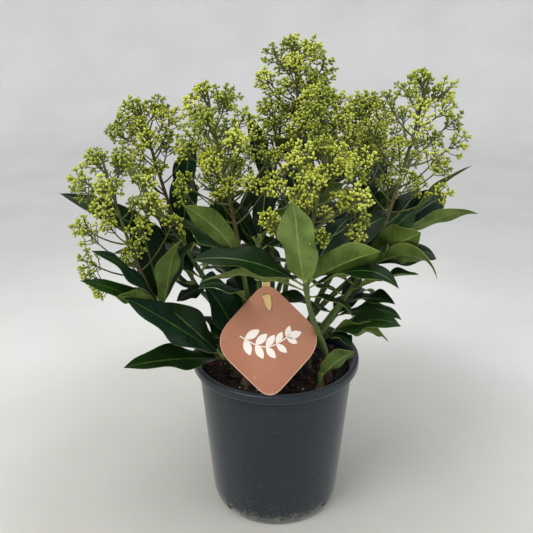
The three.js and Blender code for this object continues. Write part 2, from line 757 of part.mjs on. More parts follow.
/** Points over the tag and its strap, for the clearance test. */
function tagSamples() {
  const plane = tagPlane();
  const points = [];
  for (let x = -TAG.width / 2; x <= TAG.width / 2; x += 5) {
    for (let y = -TAG.height / 2; y <= TAG.height / 2; y += 5) {
      if (Math.abs(x) / TAG.width + Math.abs(y) / TAG.height > 0.55) continue;
      points.push(...TAG.clear.map((z) => vec(x, y, z).applyMatrix4(plane)));
    }
  }
  const { centre } = strapRing();
  const loopTop = vec(0, TAG.height / 2 + 4, 0).applyMatrix4(plane);
  return [...points, ...evenly(0, 1, 6).map((t) => along(loopTop, centre, t))];
}

/** Where the strap goes round the stem behind the tag. */
function strapRing() {
  const stem = stemCurve('inner_front');
  const t = parameterBelow(stem, STRAP.ringBelow);
  return { centre: stem.getPoint(t), axis: stem.getTangent(t) };
}

/** The strap: a ring round the stem, a link down behind the card, and a tongue through its slot. */
function makeStrap() {
  const slot = TAG.height / 2 - TAG.slotBelow;
  const top = TAG.height / 2 + STRAP.above;
  const [back, half] = [STRAP.behind, STRAP.thickness / 2];
  const side = new THREE.Shape([
    [-back - half, top], [-back - half, slot + 1], [back - half, slot - 2],
    [back - half, slot - STRAP.tongue], [back + half, slot - STRAP.tongue], [back + half, slot - 1],
    [-back + half, slot + 2], [-back + half, top],
  ].map(([z, y]) => new THREE.Vector2(-z, y)));
  const strip = new THREE.ExtrudeGeometry(side, { depth: STRAP.width, bevelEnabled: false })
    .translate(0, 0, -STRAP.width / 2)
    .rotateY(Math.PI / 2);
  const wide = STRAP.width;
  const shoulder = slot - STRAP.tongue + STRAP.point;
  const front = new THREE.Shape([
    [-wide, top + 1], [-wide, slot + 1], [-wide / 2, slot + 1], [-wide / 2, shoulder],
    [0, slot - STRAP.tongue], [wide / 2, shoulder], [wide / 2, slot + 1], [wide, slot + 1],
    [wide, top + 1],
  ].map(([x, y]) => new THREE.Vector2(x, y)));
  const cutter = new THREE.ExtrudeGeometry(front, { depth: 6, bevelEnabled: false }).translate(0, 0, -3);
  const strap = solid(strip).intersect(solid(cutter)).transform(tagPlane().toArray());

  const { centre, axis } = strapRing();
  const inner = STEM.tip + 0.75;
  const ringProfile = [[inner, -1], [inner + 1.1, -1], [inner + 1.1, 1], [inner, 1], [inner, -1]]
    .map(([r, z]) => new THREE.Vector2(r, (z * STRAP.width) / 2));
  const ring = new THREE.LatheGeometry(ringProfile, 10)
    .rotateX(Math.PI / 2)
    .applyQuaternion(new THREE.Quaternion().setFromUnitVectors(vec(0, 0, 1), axis))
    .translate(...centre);

  const from = vec(0, top - 1, -back).applyMatrix4(tagPlane());
  const away = from.clone().sub(centre);
  away.addScaledVector(axis, -away.dot(axis)).normalize();
  const to = centre.clone().addScaledVector(away, inner + 0.75);
  const reach = to.clone().sub(from);
  const link = new THREE.BoxGeometry(STRAP.width, reach.length(), STRAP.thickness)
    .translate(0, reach.length() / 2, 0)
    .applyQuaternion(new THREE.Quaternion().setFromUnitVectors(vec(0, 1, 0), reach.clone().normalize()))
    .translate(...from);
  return joined([ring, link]).add(strap);
}

// ---------------------------------------------------------------- assembly

const finish = {
  pot: { color: 0x3d444a, roughness: 0.5, metalness: 0 },
  soil: { color: 0x22160f, roughness: 1, metalness: 0 },
  stem: { color: 0x4d6b2c, roughness: 0.6, metalness: 0 },
  leaf: { color: 0x1c3a1e, roughness: 0.4, metalness: 0 },
  flower: { color: 0xb2b548, roughness: 0.6, metalness: 0 },
  card: { color: 0xb57f63, roughness: 0.7, metalness: 0 },
  strap: { color: 0xc9ac7c, roughness: 0.6, metalness: 0 },
};

const plant = new THREE.Group();

function addPiece(name, body, look) {
  const mesh = new THREE.Mesh(surface(body), new THREE.MeshStandardMaterial(finish[look]));
  mesh.name = name;
  plant.add(mesh);
}

const { leaves, twigs } = growPlant();
addPiece('pot', makePot(), 'pot');
addPiece('soil', makeSoil(), 'soil');
addPiece('hang_tag', makeTag(), 'card');
addPiece('tag_strap', makeStrap(), 'strap');
for (const name of Object.keys(SHOOTS)) {
  addPiece(`${typeof SHOOTS[name].root[0] === 'string' ? 'bough' : 'stem'}_${name}`, bareStem(name), 'stem');
  addPiece(`leaves_${name}`, leafMass(name, leaves[name]), 'leaf');
  if (twigs[name]) addPiece(`flowers_${name}`, flowerHead(name, twigs[name]), 'flower');
}

export default plant;
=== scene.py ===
"""A potted skimmia in its finishes: pot, soil, hanging tag, stems, strap, leaves and flower heads.

Sizes are millimetres in the object's own frame, +Z up, with the origin under the pot's centre, and
they turn into metres where a mesh is made. -Y is the side that the tag faces.
"""
import math

import bpy
import numpy as np
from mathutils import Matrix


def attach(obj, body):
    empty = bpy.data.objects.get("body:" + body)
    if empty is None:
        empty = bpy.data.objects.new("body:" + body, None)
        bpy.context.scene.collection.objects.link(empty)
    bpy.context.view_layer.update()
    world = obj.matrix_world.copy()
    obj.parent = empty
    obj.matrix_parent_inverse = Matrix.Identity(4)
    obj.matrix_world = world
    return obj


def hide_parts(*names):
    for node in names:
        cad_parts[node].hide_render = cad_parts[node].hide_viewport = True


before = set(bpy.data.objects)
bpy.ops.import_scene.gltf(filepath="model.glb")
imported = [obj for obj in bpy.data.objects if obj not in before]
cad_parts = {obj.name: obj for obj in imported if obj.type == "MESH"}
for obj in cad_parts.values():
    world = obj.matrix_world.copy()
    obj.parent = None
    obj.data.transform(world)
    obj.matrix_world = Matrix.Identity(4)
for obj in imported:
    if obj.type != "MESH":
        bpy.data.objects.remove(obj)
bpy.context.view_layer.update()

# ---------------------------------------------------------------- studio
# A pale floor that sweeps up into a wall all round, far from the plant, lit by broad soft lights from
# high on the left, from the right and from above, with a camera that looks a little down on it.

CAMERA = {"place": (-8.3, -568, 467), "look_down": 22.5, "lens": 48.2, "sensor": 36}
COVE = {"flat": 1500, "sweep": 500, "rim": 1100, "sides": 96, "arc": 24, "floor_rings": (900, 300, 5)}
# Painted shade and light on the floor, by distance in mm from the middle: a painted shadow round the pot, a
# lighter band, a dimmer one and the pale wall.
FLOOR_SHADE_TONES = {180: "b6b4af", 430: "cacac8", 800: "bcbcbb", 1900: "d2d2d2"}
LIGHTS = {
    "key": {"place": (-900, -900, 1700), "side": 1000, "watts": 24, "tone": "fffdf8"},
    "fill": {"place": (1300, -700, 900), "side": 1200, "watts": 8, "tone": "f6f9ff"},
    "overhead": {"place": (0, 150, 1700), "side": 1500, "watts": 16, "tone": "ffffff"},
}
AIM = (0, 0, 200)
AIR = {"tone": "f2f5f8", "strength": 0.6}
PATCH_SPAN = {"From Min": 0.36, "From Max": 0.64}


def rgb(code):
    """The linear colour of an sRGB hex code: (c / 12.92) below 0.04045, else ((c + 0.055) / 1.055)^2.4."""
    tones = np.array([int(code[i:i + 2], 16) for i in (0, 2, 4)]) / 255
    linear = np.where(tones <= 0.04045, tones / 12.92, ((tones + 0.055) / 1.055) ** 2.4)
    return (*linear.tolist(), 1.0)


def add(tree, kind, settings=None, links=None):
    """A new shader node: settings give its properties and its sockets' values.

    links give what feeds its sockets: an output, or a node for that node's first output.
    """
    node = tree.nodes.new(f"ShaderNode{kind}")
    for key, value in (settings or {}).items():
        if isinstance(key, int) or key in node.inputs:
            node.inputs[key].default_value = value
        else:
            setattr(node, key, value)
    for key, source in (links or {}).items():
        output = source.outputs[0] if isinstance(source, bpy.types.Node) else source
        tree.links.new(node.inputs[key], output)
    return node


def blank_finish(name):
    """A new material, its empty node tree and the place on the piece that its patterns read."""
    material = bpy.data.materials.new(name)
    material.use_nodes = True
    tree = material.node_tree
    tree.nodes.clear()
    return material, tree, add(tree, "TexCoord").outputs["Object"]


def drifting(tree, place, tones, patch, detail=3.0):
    """A colour that drifts between two tones over patches of a size in mm.

    A colour mix takes its share at socket 0 and its tones at 6 and 7, and gives the blend at output 2.
    """
    drift = add(tree, "TexNoise", {"Scale": 1000 / patch, "Detail": detail}, {"Vector": place})
    share = add(tree, "MapRange", PATCH_SPAN, {"Value": drift})
    ends = {"data_type": "RGBA", 6: rgb(tones[0]), 7: rgb(tones[1])}
    return add(tree, "Mix", ends, {0: share}).outputs[2]


def surfaced(tree, settings, links):
    """Ends a finish with its surface shader and the material's output."""
    surface = add(tree, "BsdfPrincipled", settings, links)
    add(tree, "OutputMaterial", None, {"Surface": surface})


def mottled(name, tones, patch, roughness, relief=0.0, grain=1.0, stretch=1, shader=None):
    """A finish that drifts between two tones over patches of a size in mm, with relief of a finer grain.

    stretch lengthens the pattern upwards, and relief is the bump's depth in mm.
    """
    material, tree, place = blank_finish(name)
    shaped = add(tree, "Mapping", {"Scale": (1, 1, 1 / stretch)}, {"Vector": place})
    links = {"Base Color": drifting(tree, shaped.outputs[0], tones, patch)}
    if relief:
        fine = add(tree, "TexNoise", {"Scale": 1000 / grain, "Detail": 2.0}, {"Vector": shaped})
        links["Normal"] = add(tree, "Bump", {"Strength": 1.0, "Distance": relief / 1000}, {"Height": fine})
    surfaced(tree, {"Roughness": roughness, **(shader or {})}, links)
    return material


def repainted(material, overlay):
    """Lays a colour over a finish's own: overlay(tree, own colour) gives the new one."""
    tree = material.node_tree
    surface = next(node for node in tree.nodes if node.type == "BSDF_PRINCIPLED")
    paint = surface.inputs["Base Color"]
    tree.links.new(paint, overlay(tree, paint.links[0].from_socket))
    return material


def new_object(name, parts, materials, crease=40):
    """One object from several parts, each (points in mm, [(faces, material number), ...]).

    Faces are an array of corner numbers; a material number is one for all of them or one for each.
    Edges that turn by more than the crease angle stay sharp.
    """
    points, faces, numbers = [], [], []
    count = 0
    for part_points, groups in parts:
        for corners, number in groups:
            faces.extend((corners + count).tolist())
            numbers.append(np.broadcast_to(number, len(corners)))
        points.append(part_points)
        count += len(part_points)
    mesh = bpy.data.meshes.new(name)
    mesh.from_pydata((np.concatenate(points) / 1000).tolist(), [], faces)
    mesh.polygons.foreach_set("material_index", np.concatenate(numbers).astype(np.int32))
    mesh.polygons.foreach_set("use_smooth", np.ones(len(faces), dtype=bool))
    mesh.set_sharp_from_angle(angle=math.radians(crease))
    for material in materials:
        mesh.materials.append(material)
    mesh.update()
    made = bpy.data.objects.new(name, mesh)
    bpy.context.scene.collection.objects.link(made)
    return made


def cove_rings():
    """Rings from the rim down the wall, in along a quarter circle and over the floor to its middle."""
    turn = np.linspace(np.pi / 2, 0, COVE["arc"])
    wall = COVE["flat"] + COVE["sweep"]
    radius = np.concatenate([[wall], COVE["flat"] + COVE["sweep"] * np.sin(turn), COVE["floor_rings"]])
    z = np.concatenate([[COVE["rim"]], COVE["sweep"] * (1 - np.cos(turn)), [0, 0, 0]])
    phi = np.linspace(0, 2 * np.pi, COVE["sides"], endpoint=False)
    x = radius[:, None] * np.cos(phi)
    y = radius[:, None] * np.sin(phi)
    return np.stack([x, y, np.broadcast_to(z[:, None], x.shape)], axis=-1)


def shaded_floor_tones(tree, marks):
    """The floor's tone at each distance from the middle, smoothly from one to the next, times the marks. The
    tones are painted shade and light: darkest round the pot as a painted shadow of the plant, a painted
    lighter band at 430 mm, dimmer at 800 mm and palest far out on the wall.
    """
    place = add(tree, "TexCoord").outputs["Object"]
    far = add(tree, "VectorMath", {"operation": "LENGTH"}, {0: place}).outputs["Value"]
    reaches = list(FLOOR_SHADE_TONES)
    feeds = {}
    for near, reach in zip(reaches, reaches[1:]):
        span = {"interpolation_type": "SMOOTHSTEP", "From Min": near / 1000, "From Max": reach / 1000}
        feeds[0] = add(tree, "MapRange", span, {"Value": far})
        ends = {"data_type": "RGBA", 6: rgb(FLOOR_SHADE_TONES[near]), 7: rgb(FLOOR_SHADE_TONES[reach])}
        feeds[6] = add(tree, "Mix", ends, feeds).outputs[2]
    times = {"data_type": "RGBA", "blend_type": "MULTIPLY", 0: 1.0}
    return add(tree, "Mix", times, {6: feeds[6], 7: marks}).outputs[2]


# Matt emulsion with faint cloudy marks, under painted shade and light: a warm grey painted shadow round the
# middle and cooler, paler tones further out.
painted_floor = repainted(mottled("matt_painted_floor", ("f8f8f7", "ffffff"), 150, 0.7), shaded_floor_tones)

sheet = cove_rings()
corner = np.arange(sheet.shape[0] * sheet.shape[1]).reshape(sheet.shape[:2])
around = np.roll(corner, -1, axis=1)
strips = np.stack([corner[:-1], around[:-1], around[1:], corner[1:]], axis=-1).reshape(-1, 4)
cove = new_object("studio_floor", [(sheet.reshape(-1, 3), [(strips, 0), (corner[-1:], 0)])], [painted_floor])

for label, light in LIGHTS.items():
    lamp = bpy.data.lights.new(f"{label}_light", "AREA")
    lamp.shape = "SQUARE"
    lamp.size = light["side"] / 1000
    lamp.energy = light["watts"]
    lamp.color = rgb(light["tone"])[:3]
    holder = bpy.data.objects.new(f"{label}_light", lamp)
    holder.location = [v / 1000 for v in light["place"]]
    dx, dy, dz = (a - b for a, b in zip(light["place"], AIM))
    holder.rotation_euler = (math.atan2(math.hypot(dx, dy), dz), 0, math.atan2(dx, -dy))
    bpy.context.scene.collection.objects.link(holder)

sky = bpy.data.worlds.new("studio_air")
sky.use_nodes = True
glow = sky.node_tree.nodes["Background"]
glow.inputs["Color"].default_value = rgb(AIR["tone"])
glow.inputs["Strength"].default_value = AIR["strength"]
bpy.context.scene.world = sky
bpy.context.scene.view_settings.view_transform = "Standard"

lens = bpy.data.cameras.new("camera")
lens.lens = CAMERA["lens"]
lens.sensor_width = CAMERA["sensor"]
camera = bpy.data.objects.new("camera", lens)
camera.location = [v / 1000 for v in CAMERA["place"]]
camera.rotation_euler = (math.radians(90 - CAMERA["look_down"]), 0, 0)
bpy.context.scene.collection.objects.link(camera)
bpy.context.scene.camera = camera

# ---------------------------------------------------------------- pot
# An injection-moulded nursery pot of slate-grey polypropylene: a tapered wall with a rolled lip, on
# a ring that four notches interrupt, each with a drain hole in the raised base behind it.

POT = {
    "height": 148, "foot": 55.4, "corner": (59.8, 15), "neck": 69.6, "lip": 75, "lip_inner": 70.5,
    "lip_height": 8, "wall": 2, "floor": 2, "recess": 8.5, "pad": 14, "ring_inner": 50, "middle": 5,
    "columns": 240,
}
# The notches' angles and widths are in degrees round the axis from -Y; a drain hole is a shallow pit.
NOTCH = {
    "angles": (-41.5, 46.5, 136.5, -131.5), "width": 16.5, "columns": 8, "clear": 0.2,
    "drain": 9, "drain_columns": 5, "drain_reach": (40.5, 47.5), "drain_roof": 0.3,
}
PLAIN, NOTCHED, DRAINED = range(3)


def skin(rings, hoop=False):
    """Closed shells over stacks of rings, given as an array (shells, rings, points round, 3).

    Four-sided walls join each ring to the next. A face closes each end, or with hoop the last ring
    joins the first. Gives the points, the walls and the ends' faces.
    """
    shells, count, around = rings.shape[:3]
    corner = np.arange(shells * count * around).reshape(shells, count, around)
    upper = np.roll(corner, -1, axis=1) if hoop else corner[:, 1:]
    lower = corner if hoop else corner[:, :-1]
    walls = np.stack([lower, np.roll(lower, -1, axis=2), np.roll(upper, -1, axis=2), upper], axis=-1)
    ends = corner[:0, 0] if hoop else np.concatenate([corner[:, 0, ::-1], corner[:, -1]])
    return rings.reshape(-1, 3), walls.reshape(-1, 4), ends


def in_one_look(rings, look=0):
    """The part of an object that rings make, all in one of its materials."""
    points, walls, ends = skin(rings)
    return points, [(walls, look), (ends, look)]


def rounded(corners, radii, steps=4):
    """A profile with its corners rounded: at each, a quadratic curve between points a radius away.

    The cut is never more than 0.45 of the shorter edge. corners may have any leading axes.
    """
    before = np.concatenate([corners[..., :1, :], corners[..., :-1, :]], axis=-2)
    after = np.concatenate([corners[..., 1:, :], corners[..., -1:, :]], axis=-2)
    back = np.linalg.norm(before - corners, axis=-1, keepdims=True)
    ahead = np.linalg.norm(after - corners, axis=-1, keepdims=True)
    cut = np.minimum(np.asarray(radii)[:, None], 0.45 * np.minimum(back, ahead))
    start = corners + (before - corners) * cut / np.maximum(back, 1e-6)
    end = corners + (after - corners) * cut / np.maximum(ahead, 1e-6)
    t = np.linspace(0, 1, steps)[:, None]
    start, middle, end = (point[..., None, :] for point in (start, corners, end))
    curve = (1 - t) ** 2 * start + 2 * t * (1 - t) * middle + t ** 2 * end
    return curve.reshape(*corners.shape[:-2], -1, 2)


def outer_wall(z):
    """The wall's outer radius at a height, straight from the corner to the neck."""
    share = (z - POT["corner"][1]) / (POT["height"] - POT["lip_height"] - POT["corner"][1])
    return POT["corner"][0] + (POT["neck"] - POT["corner"][0]) * share


def pot_profiles():
    """The pot's section for a plain, a notched and a drained column, all with as many points.

    Each point is (radius, height, rounding): from the middle of the underside out over the foot, up
    the wall, over the lip and down inside to the middle of the floor.
    """
    lip, foot, ring = POT["height"] - POT["lip_height"], POT["foot"], POT["ring_inner"]
    out, up = POT["corner"]
    under = POT["recess"]
    floor = under + POT["floor"]
    roof = floor - NOTCH["drain_roof"]
    near, far = NOTCH["drain_reach"]
    middle, pad = POT["middle"], POT["pad"]
    inside = [(middle, 0, 0.1), (pad, 0, 0.8), (pad + 1.5, under, 0.8), (near, under, 0.1)]
    base = [(near + 0.5, under, 0.1), (far - 0.5, under, 0.1), (far, under, 0.1), (ring - 1, under, 0.3)]
    hole = [(near, roof, 0.1), (far, roof, 0.1), (far, under, 0.1), (ring - 1, under, 0.3)]
    skirt = [(ring, 0, 0.6), (foot, 0, 1), (foot + 3, 5, 2)]
    gap = [(ring, under, 0.6), (foot, under, 1), (outer_wall(under), under, 2)]
    above = [
        (out, up, 4), (POT["neck"] - 0.6, lip - 8, 6), (POT["neck"], lip, 0.8), (POT["lip"], lip + 0.6, 1.2),
        (POT["lip"], POT["height"], 2.4), (POT["lip_inner"], POT["height"], 1.4),
        (POT["neck"] - POT["wall"], lip - 1, 2), (out - POT["wall"], up, 2), (out - 5, floor, 1),
        (middle, floor, 0.1),
    ]
    sections = np.array([inside + way + above for way in (base + skirt, base + gap, hole + gap)])
    return rounded(sections[..., :2], sections[0, :, 2])


def pot_columns():
    """The columns' angles and sections, in order; a column doubles where its section changes."""
    half, hole = NOTCH["width"] / 2, NOTCH["drain"] / 2
    angles = np.linspace(0, 360, POT["columns"], endpoint=False)
    for notch in NOTCH["angles"]:
        angles = angles[np.abs((angles - notch + 180) % 360 - 180) > half + NOTCH["clear"]]
    columns = [(angle, PLAIN) for angle in angles]
    stretches = (
        (-half, -half, 1, PLAIN), (-half, -hole, NOTCH["columns"], NOTCHED),
        (-hole, hole, NOTCH["drain_columns"], DRAINED),
        (hole, half, NOTCH["columns"], NOTCHED), (half, half, 1, PLAIN),
    )
    for notch in NOTCH["angles"]:
        for first, last, count, section in stretches:
            columns += [((notch + a) % 360, section) for a in np.linspace(first, last, count)]
    columns.sort(key=lambda column: round(column[0], 4))
    return np.array([angle for angle, _ in columns]), np.array([section for _, section in columns])


def pot_rings():
    """Rings of points round the axis, one for each point of the section, columns in order of angle."""
    angles, sections = pot_columns()
    column = pot_profiles()[sections]
    phi = np.radians(angles - 90)[:, None]
    radius = column[..., 0]
    rings = np.stack([radius * np.cos(phi), radius * np.sin(phi), column[..., 1]], axis=-1)
    return rings.transpose(1, 0, 2)[None]


# A layer on the plastic is noise of a size in mm that shows from one level of it to the next, and at
# most by a share. stretch lengthens the noise upwards. What gathers near the ground gets more from
# the first height (mm) down to the second, by up to the third value.
LAYERS = {
    # A film of dried splash greys the foot, in patches a few millimetres wide, and fades 20 mm up.
    "film": {
        "tone": "6c6d69", "size": 5, "detail": 6.0, "levels": (0.66, 0.96), "most": 0.85,
        "gathers": (18, 4, 0.5),
    },
    # Grit sticks as specks under 1 mm across, most of them near the foot.
    "grit": {
        "tone": "94918b", "size": 1.7, "detail": 3.0, "levels": (0.72, 0.8), "most": 0.7,
        "gathers": (40, 0, 0.15),
    },
    # Scuffs are small pale rubs, upright or slanting, a few millimetres long.
    "scuffs": {
        "tone": "59646a", "size": 3.333, "detail": 4.0, "levels": (0.69, 0.8), "most": 0.4,
        "stretch": 2.727,
    },
}
# The plastic's cloudy patches and fine grain, sized in mm, and how matt the patches and the film are.
PLASTIC = {"cloud": 30, "matt": (0.34, 0.46), "film_matt": 0.4, "grain": 0.9, "relief": 0.04}


def layered(tree, place, under, layer):
    """A layer's tone laid over a colour, and the share of each spot that it covers."""
    shaped = add(tree, "Mapping", {"Scale": (1, 1, 1 / layer.get("stretch", 1))}, {"Vector": place})
    grain = {"Scale": 1000 / layer["size"], "Detail": layer["detail"]}
    level = add(tree, "TexNoise", grain, {"Vector": shaped})
    if "gathers" in layer:
        first, full, most = layer["gathers"]
        span = {"From Min": first / 1000, "From Max": full / 1000, "To Max": most}
        axes = add(tree, "SeparateXYZ", None, {0: place})
        low = add(tree, "MapRange", span, {"Value": axes.outputs[2]})
        level = add(tree, "Math", {"operation": "ADD"}, {0: level, 1: low})
    span = {"From Min": layer["levels"][0], "From Max": layer["levels"][1], "To Max": layer["most"]}
    share = add(tree, "MapRange", span, {"Value": level})
    tone = add(tree, "Mix", {"data_type": "RGBA", 7: rgb(layer["tone"])}, {0: share, 6: under})
    return tone.outputs[2], share


def moulded_plastic():
    """Satin polypropylene: soft broad gloss, grey dust on the foot, a few pale scuffs and fine specks."""
    material, tree, place = blank_finish("moulded_polypropylene")
    cloud = add(tree, "TexNoise", {"Scale": 1000 / PLASTIC["cloud"], "Detail": 3.0}, {"Vector": place})
    body = add(tree, "Mix", {"data_type": "RGBA", 6: rgb("1b242a"), 7: rgb("262f36")}, {0: cloud})
    tone, film = layered(tree, place, body.outputs[2], LAYERS["film"])
    for label in ("grit", "scuffs"):
        tone = layered(tree, place, tone, LAYERS[label])[0]
    least, most = PLASTIC["matt"]
    haze = add(tree, "MapRange", {"To Min": least, "To Max": most}, {"Value": cloud})
    matt = add(tree, "Math", {"operation": "MULTIPLY_ADD", 1: PLASTIC["film_matt"]}, {0: film, 2: haze})
    fine = add(tree, "TexNoise", {"Scale": 1000 / PLASTIC["grain"], "Detail": 1.0}, {"Vector": place})
    bump = add(tree, "Bump", {"Strength": 0.5, "Distance": PLASTIC["relief"] / 1000}, {"Height": fine})
    gloss = {"IOR": 1.49, "Specular IOR Level": 0.26, "Sheen Weight": 0.44, "Sheen Roughness": 0.34}
    surfaced(tree, gloss, {"Base Color": tone, "Roughness": matt, "Normal": bump})
    return material


pot = new_object("nursery_pot", [in_one_look(pot_rings())], [moulded_plastic()], crease=32)
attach(pot, "root")
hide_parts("pot")

# ---------------------------------------------------------------- soil
# Damp peat compost that fills the pot, with crumbs, reddish bark chips and a few white grains of
# perlite on top. It lies loose, highest round the stems and lower at the wall.

SOIL = {
    "level": 138, "sink": 0.5, "dip": 4, "steepens": 1.3, "flat": 54, "bottom": 11.6, "gap": 0.5,
    "rings": 74, "sides": 220,
}
CRUMBS = {"seed": 11, "waves": 60, "longest": 26, "shortest": 3.4, "depth": 0.3025, "decay": 0.45}
# layers are the (height, width share) of a lump's rings, heights as shares of its width.
CHIPS = {"count": 1500, "size": (1.6, 5.5), "seed": 5, "layers": ((-0.15, 0.8), (0.12, 1.0), (0.26, 0.72))}
GRAINS = {"count": 60, "size": (0.9, 2.2), "seed": 8, "layers": ((-0.2, 0.6), (0.2, 1.0), (0.6, 0.6))}
LUMP = {"sides": 5, "narrow": (0.35, 0.9), "uneven": (-0.3, 0.3), "tilt": (-0.5, 0.5), "off_wall": 3}
# One lump in this many is bark, and the others are dark peat.
BARK_EVERY = 5


def soil_height(x, y):
    """The soil's surface: a low dome, with crumbs as a sum of cosines, each of a seeded heading."""
    dice = np.random.default_rng(CRUMBS["seed"])
    length = np.geomspace(CRUMBS["longest"], CRUMBS["shortest"], CRUMBS["waves"])
    heading, phase = dice.uniform(0, 2 * np.pi, (2, CRUMBS["waves"]))
    run = x[..., None] * np.cos(heading) + y[..., None] * np.sin(heading)
    depth = CRUMBS["depth"] * (length / CRUMBS["longest"]) ** CRUMBS["decay"]
    crumbs = np.sum(depth * np.cos(2 * np.pi * run / length + phase), axis=-1)
    outward = np.clip((np.hypot(x, y) - SOIL["flat"]) / (outer_wall(SOIL["level"]) - SOIL["flat"]), 0, 1)
    return SOIL["level"] - SOIL["sink"] - SOIL["dip"] * outward ** SOIL["steepens"] + crumbs


def soil_rings():
    """Rings out along the underside and up the wall, then in over the surface to the middle."""
    wall = outer_wall(SOIL["level"]) - POT["wall"] - SOIL["gap"]
    foot = outer_wall(POT["corner"][1]) - POT["wall"] - SOIL["gap"]
    radius = np.concatenate([[POT["middle"], foot - 3, foot], np.geomspace(wall, 2, SOIL["rings"])])
    phi = np.linspace(0, 2 * np.pi, SOIL["sides"], endpoint=False)
    x = radius[:, None] * np.cos(phi)
    y = radius[:, None] * np.sin(phi)
    z = soil_height(x, y)
    z[:2] = SOIL["bottom"]
    z[2] = POT["corner"][1] + 1
    return np.stack([x, y, z], axis=-1)[None]


def scattered(lumps):
    """Small flat lumps that lie on the soil: rings of uneven corners, one ring for each layer."""
    dice = np.random.default_rng(lumps["seed"])
    count = lumps["count"]
    sides = LUMP["sides"]
    reach = outer_wall(SOIL["level"]) - POT["wall"] - LUMP["off_wall"]
    radius = reach * np.sqrt(dice.uniform(0, 1, count))
    turn, spin = dice.uniform(0, 2 * np.pi, (2, count))
    x, y = radius * np.cos(turn), radius * np.sin(turn)
    long = dice.uniform(*lumps["size"], count)
    wide = long * dice.uniform(*LUMP["narrow"], count)
    phi = 2 * np.pi * np.arange(sides) / sides + dice.uniform(*LUMP["uneven"], (count, sides))
    tilt = dice.uniform(*LUMP["tilt"], (2, count))
    u, v = long[:, None] / 2 * np.cos(phi), wide[:, None] / 2 * np.sin(phi)
    cos, sin = np.cos(spin)[:, None], np.sin(spin)[:, None]
    flat = np.stack([u * cos - v * sin, u * sin + v * cos], axis=-1)
    rings = []
    for height, share in lumps["layers"]:
        across, back = flat[..., 0] * share, flat[..., 1] * share
        lift = soil_height(x, y)[:, None] + height * wide[:, None]
        slope = across * tilt[0][:, None] + back * tilt[1][:, None]
        rings.append(np.stack([across + x[:, None], back + y[:, None], lift + slope], axis=-1))
    return np.stack(rings, axis=1)


# Peat: near black, quite matt, crumbly at every scale.
peat = mottled("damp_peat", ("0d0805", "21140d"), 3.2, 0.92, relief=0.5, grain=1.4)
# Bark chips: reddish brown with dull faces.
bark_chip = mottled("bark_chips", ("482110", "6c361e"), 2.4, 0.85, relief=0.15, grain=0.8)
dark_chip = mottled("dark_peat_lumps", ("130c08", "291a13"), 2.0, 0.9, relief=0.2, grain=0.8)
# Expanded perlite: chalk white and matt.
perlite = mottled("expanded_perlite", ("cfcac0", "e6e2da"), 1.5, 0.9, relief=0.1, grain=0.5)

chips, walls, ends = skin(scattered(CHIPS))
chip_look = np.where(np.arange(CHIPS["count"]) % BARK_EVERY == 0, 1, 2)
chip_walls = LUMP["sides"] * (len(CHIPS["layers"]) - 1)
chip_part = (chips, [(walls, np.repeat(chip_look, chip_walls)), (ends, np.tile(chip_look, 2))])
parts = [in_one_look(soil_rings()), chip_part, in_one_look(scattered(GRAINS), 3)]
soil = new_object("compost", parts, [peat, bark_chip, dark_chip, perlite], crease=50)
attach(soil, "root")
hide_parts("soil")

# ---------------------------------------------------------------- hanging tag
# A square card on its corner with rounded corners, printed a warm tan and punched near the top. It
# stands on the pot's lip and leans back on the strap. A plain sprig is printed on it.

TAG = {
    "tall": 49.35, "wide": 47.8, "end_cut": 14, "side_cut": 24, "thickness": 0.9, "lean": 24.3, "turn": 2,
    "height": 88.5, "width": 79, "slot_below": 8.5, "slot": (3.4, 2.75), "foot": (-5.3, -72.75, 148.75),
    "clear": (0, 10, 20, 30, 40, 50, 60, 70), "clear_step": 5, "clear_within": 0.55, "clear_above": 4,
    "columns": 160, "hoops": (0, 0.012, 0.25, 0.5, 0.75, 0.988, 1), "bevel": 0.25,
}
RUBS = {"tone": "dcc0ac", "size": 3.4, "detail": 4.0, "levels": (0.7, 0.78), "most": 0.6}
# The printed sprig: leaves in pairs along a bowed line, and one more (heading, length) at its end.
SPRIG = {
    "from": (-19, 2), "run": 34, "bow": 7, "pairs": 5, "longest": 14, "shortest": 10, "last": (18, 13),
    "spread": 52, "fans": 22, "half_width": 0.24, "line": 0.9, "tail": 0.12, "ink": (-0.2, 0.06),
}


def in_tag_plane(points):
    """Places points drawn in the tag's own plane: raised by half its height, turned, leant back, set down."""
    turn, lean = np.radians(TAG["turn"]), np.radians(90 - TAG["lean"])
    x, y, z = points[..., 0], points[..., 1] + TAG["height"] / 2, points[..., 2]
    x, y = x * np.cos(turn) - y * np.sin(turn), x * np.sin(turn) + y * np.cos(turn)
    y, z = y * np.cos(lean) - z * np.sin(lean), y * np.sin(lean) + z * np.cos(lean)
    return np.stack([x, y, z], axis=-1) + TAG["foot"]


def tag_radius(phi, centre_y):
    """The outline's distance from a point on the card's middle line, at each angle round it.

    Each corner is a quadratic curve that starts and ends a cut's length along the straight sides.
    """
    edge = math.hypot(TAG["tall"], TAG["wide"])
    corners = np.array([[0, TAG["tall"]], [-TAG["wide"], 0], [0, -TAG["tall"]], [TAG["wide"], 0]])
    cuts = np.array([TAG["end_cut"], TAG["side_cut"]] * 2)[:, None] / edge
    start = corners + (np.roll(corners, 1, axis=0) - corners) * cuts
    end = corners + (np.roll(corners, -1, axis=0) - corners) * cuts
    t = np.linspace(0, 1, 16)[:, None]
    rounds = (1 - t) ** 2 * start[:, None] + 2 * t * (1 - t) * corners[:, None] + t ** 2 * end[:, None]
    share = np.linspace(0, 1, 40)[1:-1, None]
    sides = rounds[:, -1:] + (np.roll(start, -1, axis=0)[:, None] - rounds[:, -1:]) * share
    outline = np.concatenate([rounds, sides], axis=1).reshape(-1, 2) - [0, centre_y]
    angle = np.arctan2(outline[:, 1], outline[:, 0])
    order = np.argsort(angle)
    return np.interp(phi, angle[order], np.hypot(*outline[order].T), period=2 * np.pi)


